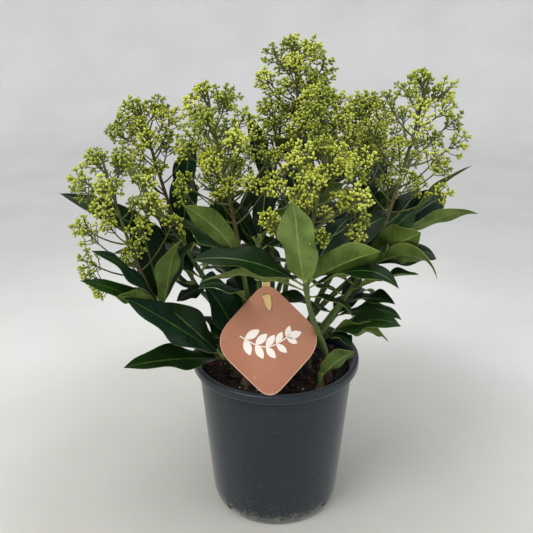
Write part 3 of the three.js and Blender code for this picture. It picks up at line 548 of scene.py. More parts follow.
def card_rings():
    """Hoops round the slot: out over the front, round the edge and back over the rear of the card.

    Each hoop lies at a share of the way from the slot to the card's edge.
    """
    phi = np.linspace(0, 2 * np.pi, TAG["columns"], endpoint=False)
    slot_y = TAG["height"] / 2 - TAG["slot_below"]
    outer = tag_radius(phi, slot_y)
    wide, tall = TAG["slot"]
    slot = wide * tall / np.hypot(tall * np.cos(phi), wide * np.sin(phi))
    half = TAG["thickness"] / 2
    out = list(TAG["hoops"])
    lift = [half - TAG["bevel"]] + [half] * (len(out) - 2) + [half - TAG["bevel"]]
    out += out[::-1]
    lift += [-h for h in reversed(lift)]
    share = np.array(out)[:, None]
    radius = slot + (outer - slot) * share
    z = np.broadcast_to(np.array(lift)[:, None], radius.shape)
    return np.stack([radius * np.cos(phi), slot_y + radius * np.sin(phi), z], axis=-1)[None]


def printed(outline):
    """A film of ink on the card's front, from an outline (shapes, points, 2)."""
    face = TAG["thickness"] / 2
    heights = [np.full((*outline.shape[:-1], 1), face + h) for h in SPRIG["ink"]]
    return np.stack([np.concatenate([outline, height], axis=-1) for height in heights], axis=1)


def sprig_line(run):
    """The sprig's bowed line at shares of its run: straight across, and down by bow sin(pi run)."""
    x, y = SPRIG["from"]
    return np.stack([x + SPRIG["run"] * run, y - SPRIG["bow"] * np.sin(np.pi * run)], axis=-1)


def sprig():
    """Printed leaves in pairs and a last one: each a pointed oval, half-width sin(pi s)^0.8."""
    s = np.linspace(0, 1, 12)
    half = SPRIG["half_width"] * np.sin(np.pi * s) ** 0.8
    oval = np.concatenate([np.stack([s, half], axis=1), np.stack([s, -half], axis=1)[-2:0:-1]])[::-1]
    run = np.append(np.repeat(np.linspace(0, 1, SPRIG["pairs"]), 2), 1)
    side = np.append(np.tile([1, -1], SPRIG["pairs"]), 0)
    heading = SPRIG["fans"] * (2 * run - 1) + SPRIG["spread"] * side
    length = SPRIG["longest"] + (SPRIG["shortest"] - SPRIG["longest"]) * run
    heading[-1], length[-1] = SPRIG["last"]
    cos, sin = (wave(np.radians(heading))[:, None] for wave in (np.cos, np.sin))
    place = np.stack([oval[:, 0] * cos - oval[:, 1] * sin, oval[:, 0] * sin + oval[:, 1] * cos], axis=-1)
    return length[:, None, None] * place + sprig_line(run)[:, None]


def sprig_stem():
    """The sprig's stem: a line of even width along the same bow, from a little before it."""
    run = np.linspace(-SPRIG["tail"], 1, 24)
    slope = SPRIG["bow"] * np.pi * np.cos(np.pi * run)
    normal = np.stack([slope, np.full_like(run, SPRIG["run"])], axis=1)
    normal *= SPRIG["line"] / 2 / np.linalg.norm(normal, axis=1, keepdims=True)
    return np.concatenate([sprig_line(run) - normal, (sprig_line(run) + normal)[::-1]])[None]


def rubbed(tree, under):
    """The print worn through in a few pale rubs a millimetre across."""
    return layered(tree, add(tree, "TexCoord").outputs["Object"], under, RUBS)[0]


# Uncoated board under a flat warm print: matt, with a slight tooth.
tan_print = mottled("printed_tan_card", ("a46b51", "ae775c"), 60, 0.62, relief=0.02, grain=0.5)
# The board's cut edge: paler than the print.
card_edge = mottled("cut_card_edge", ("c79d86", "d2ab94"), 20, 0.7)
# Opaque white ink with a little of the card's warmth.
pale_ink = mottled("pale_ink", ("efe3d8", "f4ebe2"), 30, 0.6)

card, walls, _ = skin(card_rings(), hoop=True)
hoops = len(walls) // TAG["columns"]
from_edge = np.abs(np.arange(hoops) - (len(TAG["hoops"]) - 1))
edge_look = np.where(from_edge <= 1, 2, 0)
parts = [(in_tag_plane(card), [(walls, np.repeat(edge_look, TAG["columns"]))])]
parts += [in_one_look(in_tag_plane(printed(outline)), 1) for outline in (sprig(), sprig_stem())]
tag = new_object("hanging_tag", parts, [repainted(tan_print, rubbed), pale_ink, card_edge])
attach(tag, "root")
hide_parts("hang_tag")

# ---------------------------------------------------------------- growth
# The rule that the whole plant grows by. Stems rise from the soil or part from another stem, each
# bears a whorl of leaves, and most end in a branched flower head. All of it keeps clear of the rest.

GOLDEN_ANGLE = 137.50776
STEM_FOOT_LEVEL = SOIL["level"] + 0.3
STRAP_STEM = {"name": "inner_front", "below_top": 33}
LEAF = {
    "petiole": 0.1, "petiole_width": 2.3, "swell": (1.15, 0.85), "fold": 0.16, "clear": 3.4, "closest": 14,
    "petiole_end": 0.97, "petiole_taper": 0.6, "strides": 24, "droops": 1.4, "rolls": 2.5,
    "sampled": (0.14, 0.985),
}
# seed is (the first shoot's, the step to the next one's). Any other pair is a least value and what
# chance adds to it, and a sway is the whole width that chance moves a value over.
WHORL = {
    "seed": (5000, 131), "first": 3.5, "bare": 10, "sway": 28, "flattens": 40, "pitch_sway": 16,
    "length": (0.86, 0.26), "width": (20, 9), "droop": (14, 26), "roll_sway": 24,
}
# Twigs climb to the share highest of the stalk above its bare part, by their level to the power climb,
# and each parts from it lower down, by a share of its reach and a little more.
# top is the last twig's (foot along the stalk, mm below the tip, radius), and low is (foot, radius).
CLUSTER = {
    "seed": (1000, 77), "sway": 40, "next_head": 31, "widest": 0.2, "reach": (0.8, 0.26), "inset": 7,
    "radius": (6.6, 2), "top": (0.9, 6.5, 7), "low": (0.16, 5.5), "lowest": 0.14,
    "highest": 0.9, "climb": 0.95, "parts": 0.7, "parts_below": 0.02,
}
BEND = {"rise": 0.32, "arrive": 0.34, "part": 1.2, "carry": 0.9, "upright": 0.8, "stalk": 0.3}
CHORDS = 64
# How far apart things grow: radii round stems and twigs, and the gaps that are kept. Of a cluster's
# radius, own is the share that others keep out of, room what it needs itself, and apart what two of
# one head keep of both. A run is (first, last, count) along a stalk.
CLEAR = {
    "stem": 2.7, "stalk": 1.6, "stalk_foot": -1.6, "twig": 0.9, "tag": 0.5, "widest": 9,
    "leaf_gap": 4.2, "twig_gap": 2.6, "cluster_gap": 1.2, "blade_gap": 5, "spacing": 4.5, "step": 4,
    "own": 0.75, "room": 0.85, "apart": 0.8, "stalk_run": (0.25, 0.95, 30), "foot_run": (0.02, 0.25, 10),
}
POT_CLEAR = {"soil_radius": 66, "soil_gap": 3, "lip_radii": (64, 80), "lip_gap": 4, "lowest": 60}
# The turns in degrees that a leaf tries until it lies clear.
TURNS = {"placed": (0, 7, -7, 14, -14, 21, -21), "whorl": (0, 24, -24, 48, -48)}

# root is the foot on the soil, or the parent and the place along it; top is where the leaves end; tip
# is the top of the flower head, width its spread, start the share of its stalk that is bare, and
# clusters how many side twigs it tries. leafy is the length of stem that bears leaves. placed leaves
# are (mm below the top, azimuth, elevation, length, width, droop, roll), and whorl adds
# (count, first azimuth, length, steepness) by the golden angle. low has clusters below a head.
SHOOTS = {
    "far_left": {
        "root": (-36, -24), "top": (-96, -45, 217), "leafy": 38,
        "tip": (-133, -45, 346), "width": 88, "start": 0.3, "clusters": 19,
        "placed": [
            (5, -38, 72, 70, 23, -6, 0), (4, 65, 42, 66, 16, 0, 20), (10, -148, 60, 101, 19, 18, 35),
            (4, 115, 61, 85, 30, 5, 0), (14, -148, 43, 86, 14, 14, 50), (3, -129, 40, 56, 16, 20, -60),
        ],
        "low": [(-140, -50, 232), (-91, -52, 226)], "whorl": (7, 200, 76, 64),
    },
    "upper_left": {
        "root": (-32, 8), "top": (-83, 15, 255), "leafy": 60,
        "tip": (-112, 15, 372), "width": 88, "start": 0.45, "clusters": 19,
        "placed": [
            (8, -170, 52, 92, 25, -28, -25), (16, -173, 31, 118, 20, 12, 60), (10, 70, 89, 96, 27, 10, 0),
            (50, -125, 0, 40, 14, 10, 20),
        ],
        "whorl": (8, 100, 78, 64),
    },
    "mid_left": {
        "root": (-18, -22), "top": (-30, -35, 261), "leafy": 84,
        "tip": (-54, -25, 392), "width": 84, "start": 0.3, "clusters": 21,
        "placed": [
            (8, -145, 58, 74, 20, 25, -68), (12, 159, 37, 72, 27, 25, 0), (4, 118, 41, 62, 22, 0, 0),
            (50, -126, 47, 66, 30, 30, 15), (80, 129, 27, 74, 28, 10, 0),
        ],
        "whorl": (9, 30, 74, 64),
    },
    "top": {
        "root": (4, 8), "top": (20, 35, 325), "leafy": 95,
        "tip": (14, 35, 417), "width": 80, "start": 0.35, "clusters": 18,
        "placed": [(8, 61, 31, 66, 22, 20, 0), (14, 47, 9, 66, 22, 35, 0)], "whorl": (13, 10, 72, 64),
    },
    "centre": {
        "root": ("top", 0.42), "top": (36, -8, 300), "leafy": 52,
        "tip": (33, -8, 384), "width": 66, "start": 0.36, "clusters": 14,
        "placed": [(10, 60, 32, 71, 22, 15, 0)], "whorl": (9, 60, 70, 64),
    },
    "front": {
        "root": (45, -31), "top": (21, -85, 258), "leafy": 40,
        "tip": (34, -80, 359), "width": 90, "start": 0.24, "clusters": 22,
        "placed": [
            (3, -116, 64, 90, 30, -6, 0), (5, -32, 41, 68, 26, 12, 70), (9, -169, 37, 92, 25, 42, 25),
            (13, -168, 29, 84, 18, 40, -36), (11, -32, 42, 82, 24, 55, -10), (5, 45, 51, 64, 24, 10, -20),
            (8, 29, 43, 86, 24, 15, -35), (19, -17, 12, 42, 9, 70, 0),
        ],
        "whorl": (2, 38, 74, 64),
    },
    "mid_right": {
        "root": (24, 14), "top": (78, 35, 281), "leafy": 74,
        "tip": (74, 35, 372), "width": 66, "start": 0.36, "clusters": 14,
        "placed": [(5, 61, 44, 56, 22, 10, 0), (9, 70, 36, 66, 22, 20, 0)], "whorl": (12, 40, 74, 64),
    },
    "right": {
        "root": (28, -10), "top": (79, -20, 250), "leafy": 50,
        "tip": (117, -10, 399), "width": 88, "start": 0.36, "clusters": 20,
        "placed": [
            (5, -48, 40, 62, 32, 12, 70), (8, 30, 53, 61, 28, 20, -20), (12, 19, 21, 72, 26, 40, -30),
            (16, -43, 47, 84, 20, 75, 50),
        ],
        "whorl": (7, 20, 76, 64),
    },
    "back_left": {
        "root": (-20, 28), "top": (-46, 78, 245), "leafy": 56,
        "tip": (-52, 100, 330), "width": 80, "start": 0.32, "clusters": 17, "whorl": (12, 80, 80, 64),
    },
    "back": {
        "root": (-2, 34), "top": (-2, 62, 282), "leafy": 80,
        "tip": (6, 72, 357), "width": 66, "start": 0.34, "clusters": 13,
        "placed": [(5, 134, 68, 84, 16, 5, 30), (8, 138, 74, 86, 18, 0, 0)], "whorl": (13, 70, 74, 64),
    },
    "back_right": {
        "root": ("mid_right", 0.3), "top": (72, 84, 236), "leafy": 46,
        "tip": (89, 98, 328), "width": 80, "start": 0.32, "clusters": 17, "whorl": (12, 45, 80, 64),
    },
    "low_back": {
        "root": ("back", 0.22), "top": (16, 104, 208), "leafy": 40,
        "tip": (22, 126, 292), "width": 78, "start": 0.32, "clusters": 16, "whorl": (11, 100, 76, 64),
    },
    "inner_front": {
        "root": (-12, -30), "top": (-15, -27, 268), "leafy": 26,
        "placed": [(6, 70, 62, 72, 22, 0, 0)], "whorl": (5, 20, 66, 64),
    },
    "low_left": {
        "root": ("far_left", 0.18), "top": (-44, -48, 172), "leafy": 21.5,
        "placed": [
            (21, -139, 21, 100, 27, 16, 20), (6, -150, 44, 108, 29, 10, 40), (3, -172, 49, 74, 28, 5, 45),
        ],
        "whorl": (2, 60, 66, 64),
    },
    "low_right": {
        "root": ("right", 0.16), "top": (44, -38, 190), "leafy": 26,
        "placed": [(4, -35, 39, 72, 26, 30, -25), (9, -36, 31, 64, 24, 30, 50), (7, -59, 30, 34, 16, 50, 0)],
        "whorl": (2, 60, 60, 64),
    },
    "side_left": {
        "root": ("upper_left", 0.24), "top": (-84, 58, 206), "leafy": 40, "whorl": (10, 150, 80, 64),
    },
    "side_right": {
        "root": ("mid_right", 0.22), "top": (102, 20, 256), "leafy": 40,
        "placed": [(5, -29, 32, 84, 15, 12, 55), (9, 24, 44, 72, 30, 25, -60), (4, 15, 48, 96, 15, 16, 50)],
        "whorl": (8, 60, 76, 64),
    },
    "low_behind": {
        "root": ("back_left", 0.2), "top": (-34, 102, 186), "leafy": 30, "whorl": (10, 110, 74, 64),
    },
    "low_right_back": {
        "root": ("right", 0.2), "top": (60, 2, 200), "leafy": 28,
        "placed": [(5, -46, 36, 62, 20, 40, -10)], "whorl": (7, 0, 66, 64),
    },
    "low_middle": {
        "root": (-26, -38), "top": (-24, -34, 172), "leafy": 16,
        "placed": [(3, 140, 58, 68, 29, 4, 20)], "whorl": (3, 60, 56, 60),
    },
    "low_front": {
        "root": (38, -46), "top": (37, -48, 156), "leafy": 13,
        "placed": [(1, -45, 59, 50, 18, 20, 45)], "whorl": (1, 60, 34, 56),
    },
}


def unit(v):
    """The vectors at length one."""
    return v / np.linalg.norm(v, axis=-1, keepdims=True)


def draws(seed):
    """Seeded numbers from 0 to 1 by the rule state = 1664525 state + 1013904223, modulo 2^32."""
    state = seed
    while True:
        state = (1664525 * state + 1013904223) % 2 ** 32
        yield state / 2 ** 32


def along(curve, t):
    """Points of a cubic Bezier curve, given as its four points, at the parameters t."""
    t = np.asarray(t, dtype=float)[..., None]
    a, b, c, d = curve
    return (1 - t) ** 3 * a + 3 * t * (1 - t) ** 2 * b + 3 * t ** 2 * (1 - t) * c + t ** 3 * d


def heading_at(curve, t):
    """The curve's direction at t, from the points a ten-thousandth before and after it."""
    t = np.asarray(t, dtype=float)
    return unit(along(curve, np.minimum(1, t + 1e-4)) - along(curve, np.maximum(0, t - 1e-4)))


def stem_curve(name):
    """A stem: upright at its foot, then leaning out to the top of its leaves."""
    shoot = SHOOTS[name]
    top = np.array(shoot["top"], dtype=float)
    if isinstance(shoot["root"][0], str):
        parent = stem_curve(shoot["root"][0])
        foot = along(parent, shoot["root"][1])
        rise = unit(heading_at(parent, shoot["root"][1]) + BEND["part"] * unit(top - foot))
    else:
        foot = np.array([*shoot["root"], STEM_FOOT_LEVEL])
        rise = np.array([0.0, 0.0, 1.0])
    length = np.linalg.norm(top - foot)
    chord = (top - foot) / length
    lean = chord + [0, 0, BEND["upright"]]
    if "tip" in shoot:
        lean = unit(np.array(shoot["tip"]) - top) + BEND["carry"] * chord
    up, back = BEND["rise"] * length * rise, BEND["arrive"] * length * unit(lean)
    return np.array([foot, foot + up, top - back, top])


def stalk_curve(name):
    """A flower stalk: it carries the stem's lean on and turns up towards the tip."""
    stem = stem_curve(name)
    tip = np.array(SHOOTS[name]["tip"], dtype=float)
    length = np.linalg.norm(tip - stem[3])
    lean = unit(stem[3] - stem[2])
    upward = unit(unit(tip - stem[3]) + [0, 0, BEND["stalk"]])
    reach = BEND["stalk"] * length
    return np.array([stem[3], stem[3] + reach * lean, tip - reach * upward, tip])


def chords(curve):
    """The lengths of the curve's chords."""
    return np.linalg.norm(np.diff(along(curve, np.linspace(0, 1, CHORDS + 1)), axis=0), axis=1)


def parameter_below(curve, distance):
    """The curve's parameter at a distance in mm back from its end."""
    walked = np.concatenate([[0], np.cumsum(chords(curve)[::-1])])
    return float(np.interp(distance, walked, np.linspace(1, 0, CHORDS + 1)))


def leaf_root(name, leaf):
    """Where a leaf starts: on the stem's axis, lower for a leaf that hugs the stem, to clear its stalk."""
    below, azimuth, elevation = leaf[0], np.radians(leaf[1]), np.radians(leaf[2])
    flat = np.cos(elevation)
    outward = np.array([flat * np.cos(azimuth), flat * np.sin(azimuth), np.sin(elevation)])
    stem = stem_curve(name)
    spread = max(math.acos(np.clip(outward @ heading_at(stem, 1), -1, 1)), math.radians(LEAF["closest"]))
    return along(stem, parameter_below(stem, max(below, LEAF["clear"] / math.tan(spread))))


def half_width(s, width):
    """Half the blade's width at the share s of its length: a narrow stalk, widest past the middle."""
    u = np.clip((s - LEAF["petiole"]) / (1 - LEAF["petiole"]), 0, 1)
    a, b = LEAF["swell"]
    peak = (a / (a + b)) ** a * (b / (a + b)) ** b
    blade = width / 2 * u ** a * (1 - u) ** b / peak
    stalk = LEAF["petiole_width"] / 2 * (1 - LEAF["petiole_taper"] * s)
    return np.maximum(blade, np.where(s < LEAF["petiole_end"], stalk, 0))


def blade_frames(root, leaf, shares):
    """The midrib's points at shares of its length, with the side and the upper side there.

    The pitch is elevation - droop s^1.4, added up in strides, and the blade rolls over by 2.5 s.
    """
    _, azimuth, elevation, length, _, droop, roll = leaf
    heading = math.radians(azimuth)

    def direction(s):
        pitch = np.radians(elevation - droop * s ** LEAF["droops"])
        flat = np.cos(pitch)
        return np.stack([flat * np.cos(heading), flat * np.sin(heading), np.sin(pitch)], axis=-1)

    steps = LEAF["strides"]
    strides = direction((np.arange(steps) + 0.5) / steps) * length / steps
    midrib = root + np.concatenate([[[0, 0, 0]], np.cumsum(strides, axis=0)])
    cell = np.minimum(steps - 1, (shares * steps).astype(int))
    centre = midrib[cell] + (midrib[cell + 1] - midrib[cell]) * (shares * steps - cell)[:, None]
    level = np.array([math.sin(heading), -math.cos(heading), 0.0])
    upper = np.cross(level, direction(shares))
    turn = (np.radians(roll) * np.minimum(1, LEAF["rolls"] * shares))[:, None]
    return centre, level * np.cos(turn) + upper * np.sin(turn), upper * np.cos(turn) - level * np.sin(turn)


def blade_samples(root, leaf):
    """Points all over a blade, about a spacing apart, to test its clearance by."""
    first, last = LEAF["sampled"]
    spacing = CLEAR["spacing"]
    shares = np.linspace(first, last, math.ceil(leaf[3] * (1 - first) / spacing) + 1)
    rows = []
    for s, centre, side, upper in zip(shares, *blade_frames(root, leaf, shares)):
        half = half_width(s, leaf[4])
        v = np.linspace(-1, 1, 2 * max(1, math.ceil(half / spacing)) + 1)[:, None]
        rows.append(centre + side * half * v + upper * LEAF["fold"] * half * np.abs(v))
    return np.concatenate(rows)


def whorl_leaves(name):
    """The whorl's leaves: round the stem by the golden angle, steep at the top and flatter below."""
    count, start, length, steep = SHOOTS[name]["whorl"]
    seed, step = WHORL["seed"]
    draw = draws(seed + list(SHOOTS).index(name) * step)

    def chance(least, more):
        return least + more * next(draw)

    leaves = []
    for i in range(count):
        f = i / max(1, count - 1)
        leaves.append((
            WHORL["first"] + f * (SHOOTS[name]["leafy"] - WHORL["bare"]),
            start + i * GOLDEN_ANGLE + WHORL["sway"] * (next(draw) - 0.5),
            steep - WHORL["flattens"] * f + WHORL["pitch_sway"] * (next(draw) - 0.5),
            length * chance(*WHORL["length"]),
            chance(*WHORL["width"]),
            chance(*WHORL["droop"]),
            WHORL["roll_sway"] * (next(draw) - 0.5),
        ))
    return leaves


def head_twigs(name):
    """A head's side twigs, each (foot on the stalk, centre of its buds, their reach)."""
    shoot = SHOOTS[name]
    order = list(SHOOTS).index(name)
    stalk = stalk_curve(name)
    length = chords(stalk).sum()
    seed, step = CLUSTER["seed"]
    draw = draws(seed + order * step)
    twigs = []
    for k in range(shoot["clusters"]):
        level = (k + 0.5) / shoot["clusters"]
        sway = CLUSTER["sway"] * (next(draw) - 0.5)
        azimuth = math.radians(k * GOLDEN_ANGLE + sway + CLUSTER["next_head"] * order)
        spread = math.sqrt(1 - ((level - CLUSTER["widest"]) / (1 - CLUSTER["widest"])) ** 2)
        least, more = CLUSTER["reach"]
        reach = (shoot["width"] / 2 - CLUSTER["inset"]) * spread * (least + more * next(draw))
        t = shoot["start"] + (1 - shoot["start"]) * CLUSTER["highest"] * level ** CLUSTER["climb"]
        tangent = heading_at(stalk, t)
        a = unit(np.cross(tangent, [0, 1, 0]))
        b = np.cross(tangent, a)
        centre = along(stalk, t) + reach * (a * math.cos(azimuth) + b * math.sin(azimuth))
        parted = t - CLUSTER["parts"] * reach / length - CLUSTER["parts_below"]
        foot = along(stalk, max(CLUSTER["lowest"], parted))
        least, more = CLUSTER["radius"]
        twigs.append((foot, centre, least + more * next(draw)))
    t, below, radius = CLUSTER["top"]
    twigs.append((along(stalk, t), stalk[3] - [0, 0, below], radius))
    t, radius = CLUSTER["low"]
    twigs += [(along(stalk, t), np.array(place, dtype=float), radius) for place in shoot.get("low", [])]
    return twigs


def twig_samples(foot, centre):
    """Points along a twig, a little over a step apart."""
    count = max(2, math.floor(np.linalg.norm(centre - foot) / CLEAR["step"]))
    return foot + (centre - foot) * np.linspace(0, 1, count)[:, None]


def tag_samples():
    """Points over the tag, in front of it and along its strap."""
    xs = np.arange(-TAG["width"] / 2, TAG["width"] / 2 + 0.1, TAG["clear_step"])
    ys = np.arange(-TAG["height"] / 2, TAG["height"] / 2 + 0.1, TAG["clear_step"])
    x, y, z = (v.ravel() for v in np.meshgrid(xs, ys, TAG["clear"], indexing="ij"))
    inside = np.abs(x) / TAG["width"] + np.abs(y) / TAG["height"] <= TAG["clear_within"]
    card = in_tag_plane(np.stack([x, y, z], axis=1)[inside])
    loop_top = in_tag_plane(np.array([0, TAG["height"] / 2 + TAG["clear_above"], 0]))
    ring = strap_ring()[0]
    return np.concatenate([card, loop_top + (ring - loop_top) * np.linspace(0, 1, 6)[:, None]])


def strap_ring():
    """Where the strap goes round the stem behind the tag, and the stem's direction there."""
    stem = stem_curve(STRAP_STEM["name"])
    t = parameter_below(stem, STRAP_STEM["below_top"])
    return along(stem, t), heading_at(stem, t)


taken = {"points": [], "radii": [], "owners": []}


def take(points, radius, owner):
    """Marks points as taken, each with a radius, by the piece of that name."""
    taken["points"].append(points)
    taken["radii"].append(np.full(len(points), float(radius)))
    taken["owners"].append(np.full(len(points), owner, dtype="U32"))


def meets(points, owner, margin):
    """Whether any point lies nearer than the margin to a piece other than its own."""
    places = np.concatenate(taken["points"])
    reach = margin + np.concatenate(taken["radii"])
    edge = margin + CLEAR["widest"]
    near = np.all((places > points.min(0) - edge) & (places < points.max(0) + edge), axis=1)
    near &= np.concatenate(taken["owners"]) != owner
    gap = np.sum((points[:, None] - places[near]) ** 2, axis=2)
    return bool(np.any(gap < reach[near] ** 2))


def meets_pot(points):
    """Whether a leaf would lie in the soil or across the pot's lip."""
    r = np.hypot(points[:, 0], points[:, 1])
    z = points[:, 2]
    inner, outer = POT_CLEAR["lip_radii"]
    in_soil = (r <= POT_CLEAR["soil_radius"]) & (z < SOIL["level"] + POT_CLEAR["soil_gap"])
    on_lip = (r > inner) & (r < outer) & (z < POT["height"] + POT_CLEAR["lip_gap"])
    return bool(np.any(in_soil | on_lip | (z < POT_CLEAR["lowest"])))


def grow():
    """All the leaves and flower twigs, tried in turn: the placed leaves, the heads, then the whorls.

    A leaf tries a few azimuths, and one that still touches another piece is left out.
    """
    for name, shoot in SHOOTS.items():
        stem = stem_curve(name)
        cut = parameter_below(stem, shoot["leafy"])
        places = np.linspace(0, 1, math.floor(chords(stem).sum() / CLEAR["step"]) + 2)
        take(along(stem, places[places < cut]), CLEAR["stem"], f"stem {name}")
        take(along(stem, places[places >= cut]), CLEAR["stem"], name)
        if "tip" in shoot:
            stalk = stalk_curve(name)
            take(along(stalk, np.linspace(*CLEAR["stalk_run"])), CLEAR["stalk"], f"head {name}")
            take(along(stalk, np.linspace(*CLEAR["foot_run"])), CLEAR["stalk_foot"], f"head {name}")
    take(tag_samples(), CLEAR["tag"], "tag")

    leaves = {name: [] for name in SHOOTS}
    grown = {name: [] for name in SHOOTS}

    def place(name, leaf, turns, crowding):
        for turn in turns:
            turned = (leaf[0], leaf[1] + turn, *leaf[2:])
            samples = blade_samples(leaf_root(name, turned), turned)
            if meets_pot(samples) or meets(samples, name, CLEAR["leaf_gap"]):
                continue
            outer = samples[len(samples) // 3:]
            gaps = [np.sum((outer[:, None] - other) ** 2, axis=2).min() for other in grown[name]]
            if crowding and gaps and min(gaps) < crowding ** 2:
                continue
            leaves[name].append(turned)
            grown[name].append(outer)
            take(samples, 0, name)
            return

    for name, shoot in SHOOTS.items():
        for leaf in shoot.get("placed", []):
            place(name, leaf, TURNS["placed"], 0)

    twigs = {}
    for name in [key for key, shoot in SHOOTS.items() if "tip" in shoot]:
        owner = f"head {name}"
        twigs[name] = []
        for foot, centre, radius in head_twigs(name):
            if meets(centre[None], owner, CLEAR["room"] * radius + CLEAR["cluster_gap"]):
                continue
            if meets(twig_samples(foot, centre)[1:], owner, CLEAR["twig_gap"]):
                continue
            if any(np.linalg.norm(c - centre) < CLEAR["apart"] * (r + radius) for _, c, r in twigs[name]):
                continue
            twigs[name].append((foot, centre, radius))
        for foot, centre, radius in twigs[name]:
            take(twig_samples(foot, centre), CLEAR["twig"], owner)
            take(centre[None], CLEAR["own"] * radius, owner)

    for name in SHOOTS:
        for leaf in whorl_leaves(name):
            place(name, leaf, TURNS["whorl"], CLEAR["blade_gap"])
    return leaves, twigs


leaves, twigs = grow()

# ---------------------------------------------------------------- stems
# Young woody stems, green and a little ribbed, browner and rougher near the soil, with a swelling
# where each leaf sits. They carry on inside the leaves up to the flower stalks.

STEM = {"foot": 2.6, "tip": 2.1, "flare": 0.8, "flare_length": 5, "leafy_tip": 1.8, "sides": 14, "step": 1.6}
# Swellings along a stem, (rise, half their length): scars of fallen leaves, and the seats of leaves.
SCAR = {"swelling": (0.32, 0.9), "first": 9, "every": 13}
SEAT = {"swelling": (0.28, 1.6), "below": 1, "highest": 3}
BARK = {
    "ribs": 5, "rib": 0.05, "drift": 0.03, "rough": 0.03, "rough_pitch": 2.1, "rough_reach": 60,
    "brown": 9, "brown_edge": 3,
}


def rings_round(paths, radii, sides):
    """Rings square to many paths at once, an array (paths, points, 3), with a radius for each ring.

    Each ring starts from the direction x, or y on a path that runs along x, made square to the path.
    """
    tangents = unit(np.gradient(paths, axis=1))
    chord = unit(paths[:, -1] - paths[:, 0])
    steady = np.where(np.abs(chord[:, :1]) < 0.8, [[1.0, 0, 0]], [[0, 1.0, 0]])[:, None]
    a = unit(steady - tangents * np.sum(steady * tangents, axis=-1, keepdims=True))
    b = np.cross(tangents, a)
    phi = (2 * np.pi * np.arange(sides) / sides)[:, None]
    ring = a[:, :, None] * np.cos(phi) + b[:, :, None] * np.sin(phi)
    spread = radii[..., None, None] if radii.ndim == 2 else radii[..., None]
    return paths[:, :, None] + spread * ring


def swollen(distance, at, swelling):
    """A swelling round a place along a stem: rise exp(-((distance - place) / half length)^2)."""
    rise, half = swelling
    return rise * np.exp(-((distance - at) / half) ** 2)


def stem_rings(name):
    """One stem as rings: a straight taper, a flare at a foot on the soil, ribs and leaf scars.

    The flare is 1 + flare exp(-distance / its length). Ribs are a cosine round the stem that drifts
    along it, and the bark is rougher near the foot.
    """
    curve = stem_curve(name)
    length = chords(curve).sum()
    t = np.linspace(0, 1, int(length / STEM["step"]))
    distance = t * length
    radius = STEM["foot"] + (STEM["tip"] - STEM["foot"]) * t
    low = 1 - SHOOTS[name]["leafy"] / length
    leafy = STEM["tip"] + (STEM["leafy_tip"] - STEM["tip"]) * (t - low) / (1 - low)
    radius = np.where(t > low, leafy, radius)
    if not isinstance(SHOOTS[name]["root"][0], str):
        radius = radius * (1 + STEM["flare"] * np.exp(-distance / STEM["flare_length"]))
    order = list(SHOOTS).index(name)
    for scar in np.arange(SCAR["first"] + 3 * (order % 3), length * low, SCAR["every"]):
        radius = radius + swollen(distance, scar, SCAR["swelling"])
    for leaf in leaves[name]:
        seat = length - max(leaf[0], SEAT["highest"]) - SEAT["below"]
        radius = radius + swollen(distance, seat, SEAT["swelling"])
    phi = 2 * np.pi * np.arange(STEM["sides"]) / STEM["sides"]
    walked = distance[:, None]
    ribs = BARK["rib"] * np.cos(BARK["ribs"] * phi + BARK["drift"] * walked + order)
    rough = BARK["rough"] * np.sin(BARK["rough_pitch"] * walked + 3 * phi)
    rough = rough * np.exp(-walked / BARK["rough_reach"])
    return rings_round(along(curve, t)[None], (radius[:, None] * (1 + ribs + rough))[None], STEM["sides"])


def stem_node(name):
    """The name of a shoot's stem: a bough if it parts from another stem."""
    return f"bough_{name}" if isinstance(SHOOTS[name]["root"][0], str) else f"stem_{name}"


# Young bark: olive green and satin, with a fine lengthwise grain.
green_bark = mottled("young_green_bark", ("364b1a", "536927"), 9, 0.5, relief=0.12, grain=1.6, stretch=6)
# Older bark at the foot: grey brown, split lengthwise.
brown_bark = mottled("older_brown_bark", ("382d1f", "54462f"), 5, 0.8, relief=0.3, grain=1.8, stretch=5)

parts = []
for name in SHOOTS:
    points, walls, ends = skin(stem_rings(name))
    x, _, z = points[walls[:, 0]].T
    low = z < SOIL["level"] + BARK["brown"] + BARK["brown_edge"] * np.sin(x)
    parts.append((points, [(walls, low.astype(int)), (ends, 0)]))
stems = new_object("stems", parts, [green_bark, brown_bark], crease=60)
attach(stems, "root")
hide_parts(*[stem_node(name) for name in SHOOTS])

# ---------------------------------------------------------------- strap
# A flat strip of tan card-plastic that holds the tag: a ring round a stem, a strip down behind the
# card, through its slot, and a pointed tongue on the front.

STRAP = {
    "width": 6, "thickness": 0.8, "behind": 1.2, "above": 5, "tongue": 11.5, "skew": 0.18, "step": 2.2,
    "ring_gap": 0.95, "ring_wall": 0.9, "ring_columns": 40, "link_rows": 12, "link_bites": 0.75,
}
ALONG_X = np.array([1.0, 0, 0])


def ribbon(path, widths, across, thickness):
    """A flat strip along a path: four corners at each point, out along `across` and the strip's normal."""
    normal = unit(np.cross(across, unit(np.gradient(path, axis=0))))
    out = across * (widths / 2)[:, None]
    lift = normal * thickness / 2
    corners = [path - out - lift, path + out - lift, path + out + lift, path - out + lift]
    return np.stack(corners, axis=1)[None]


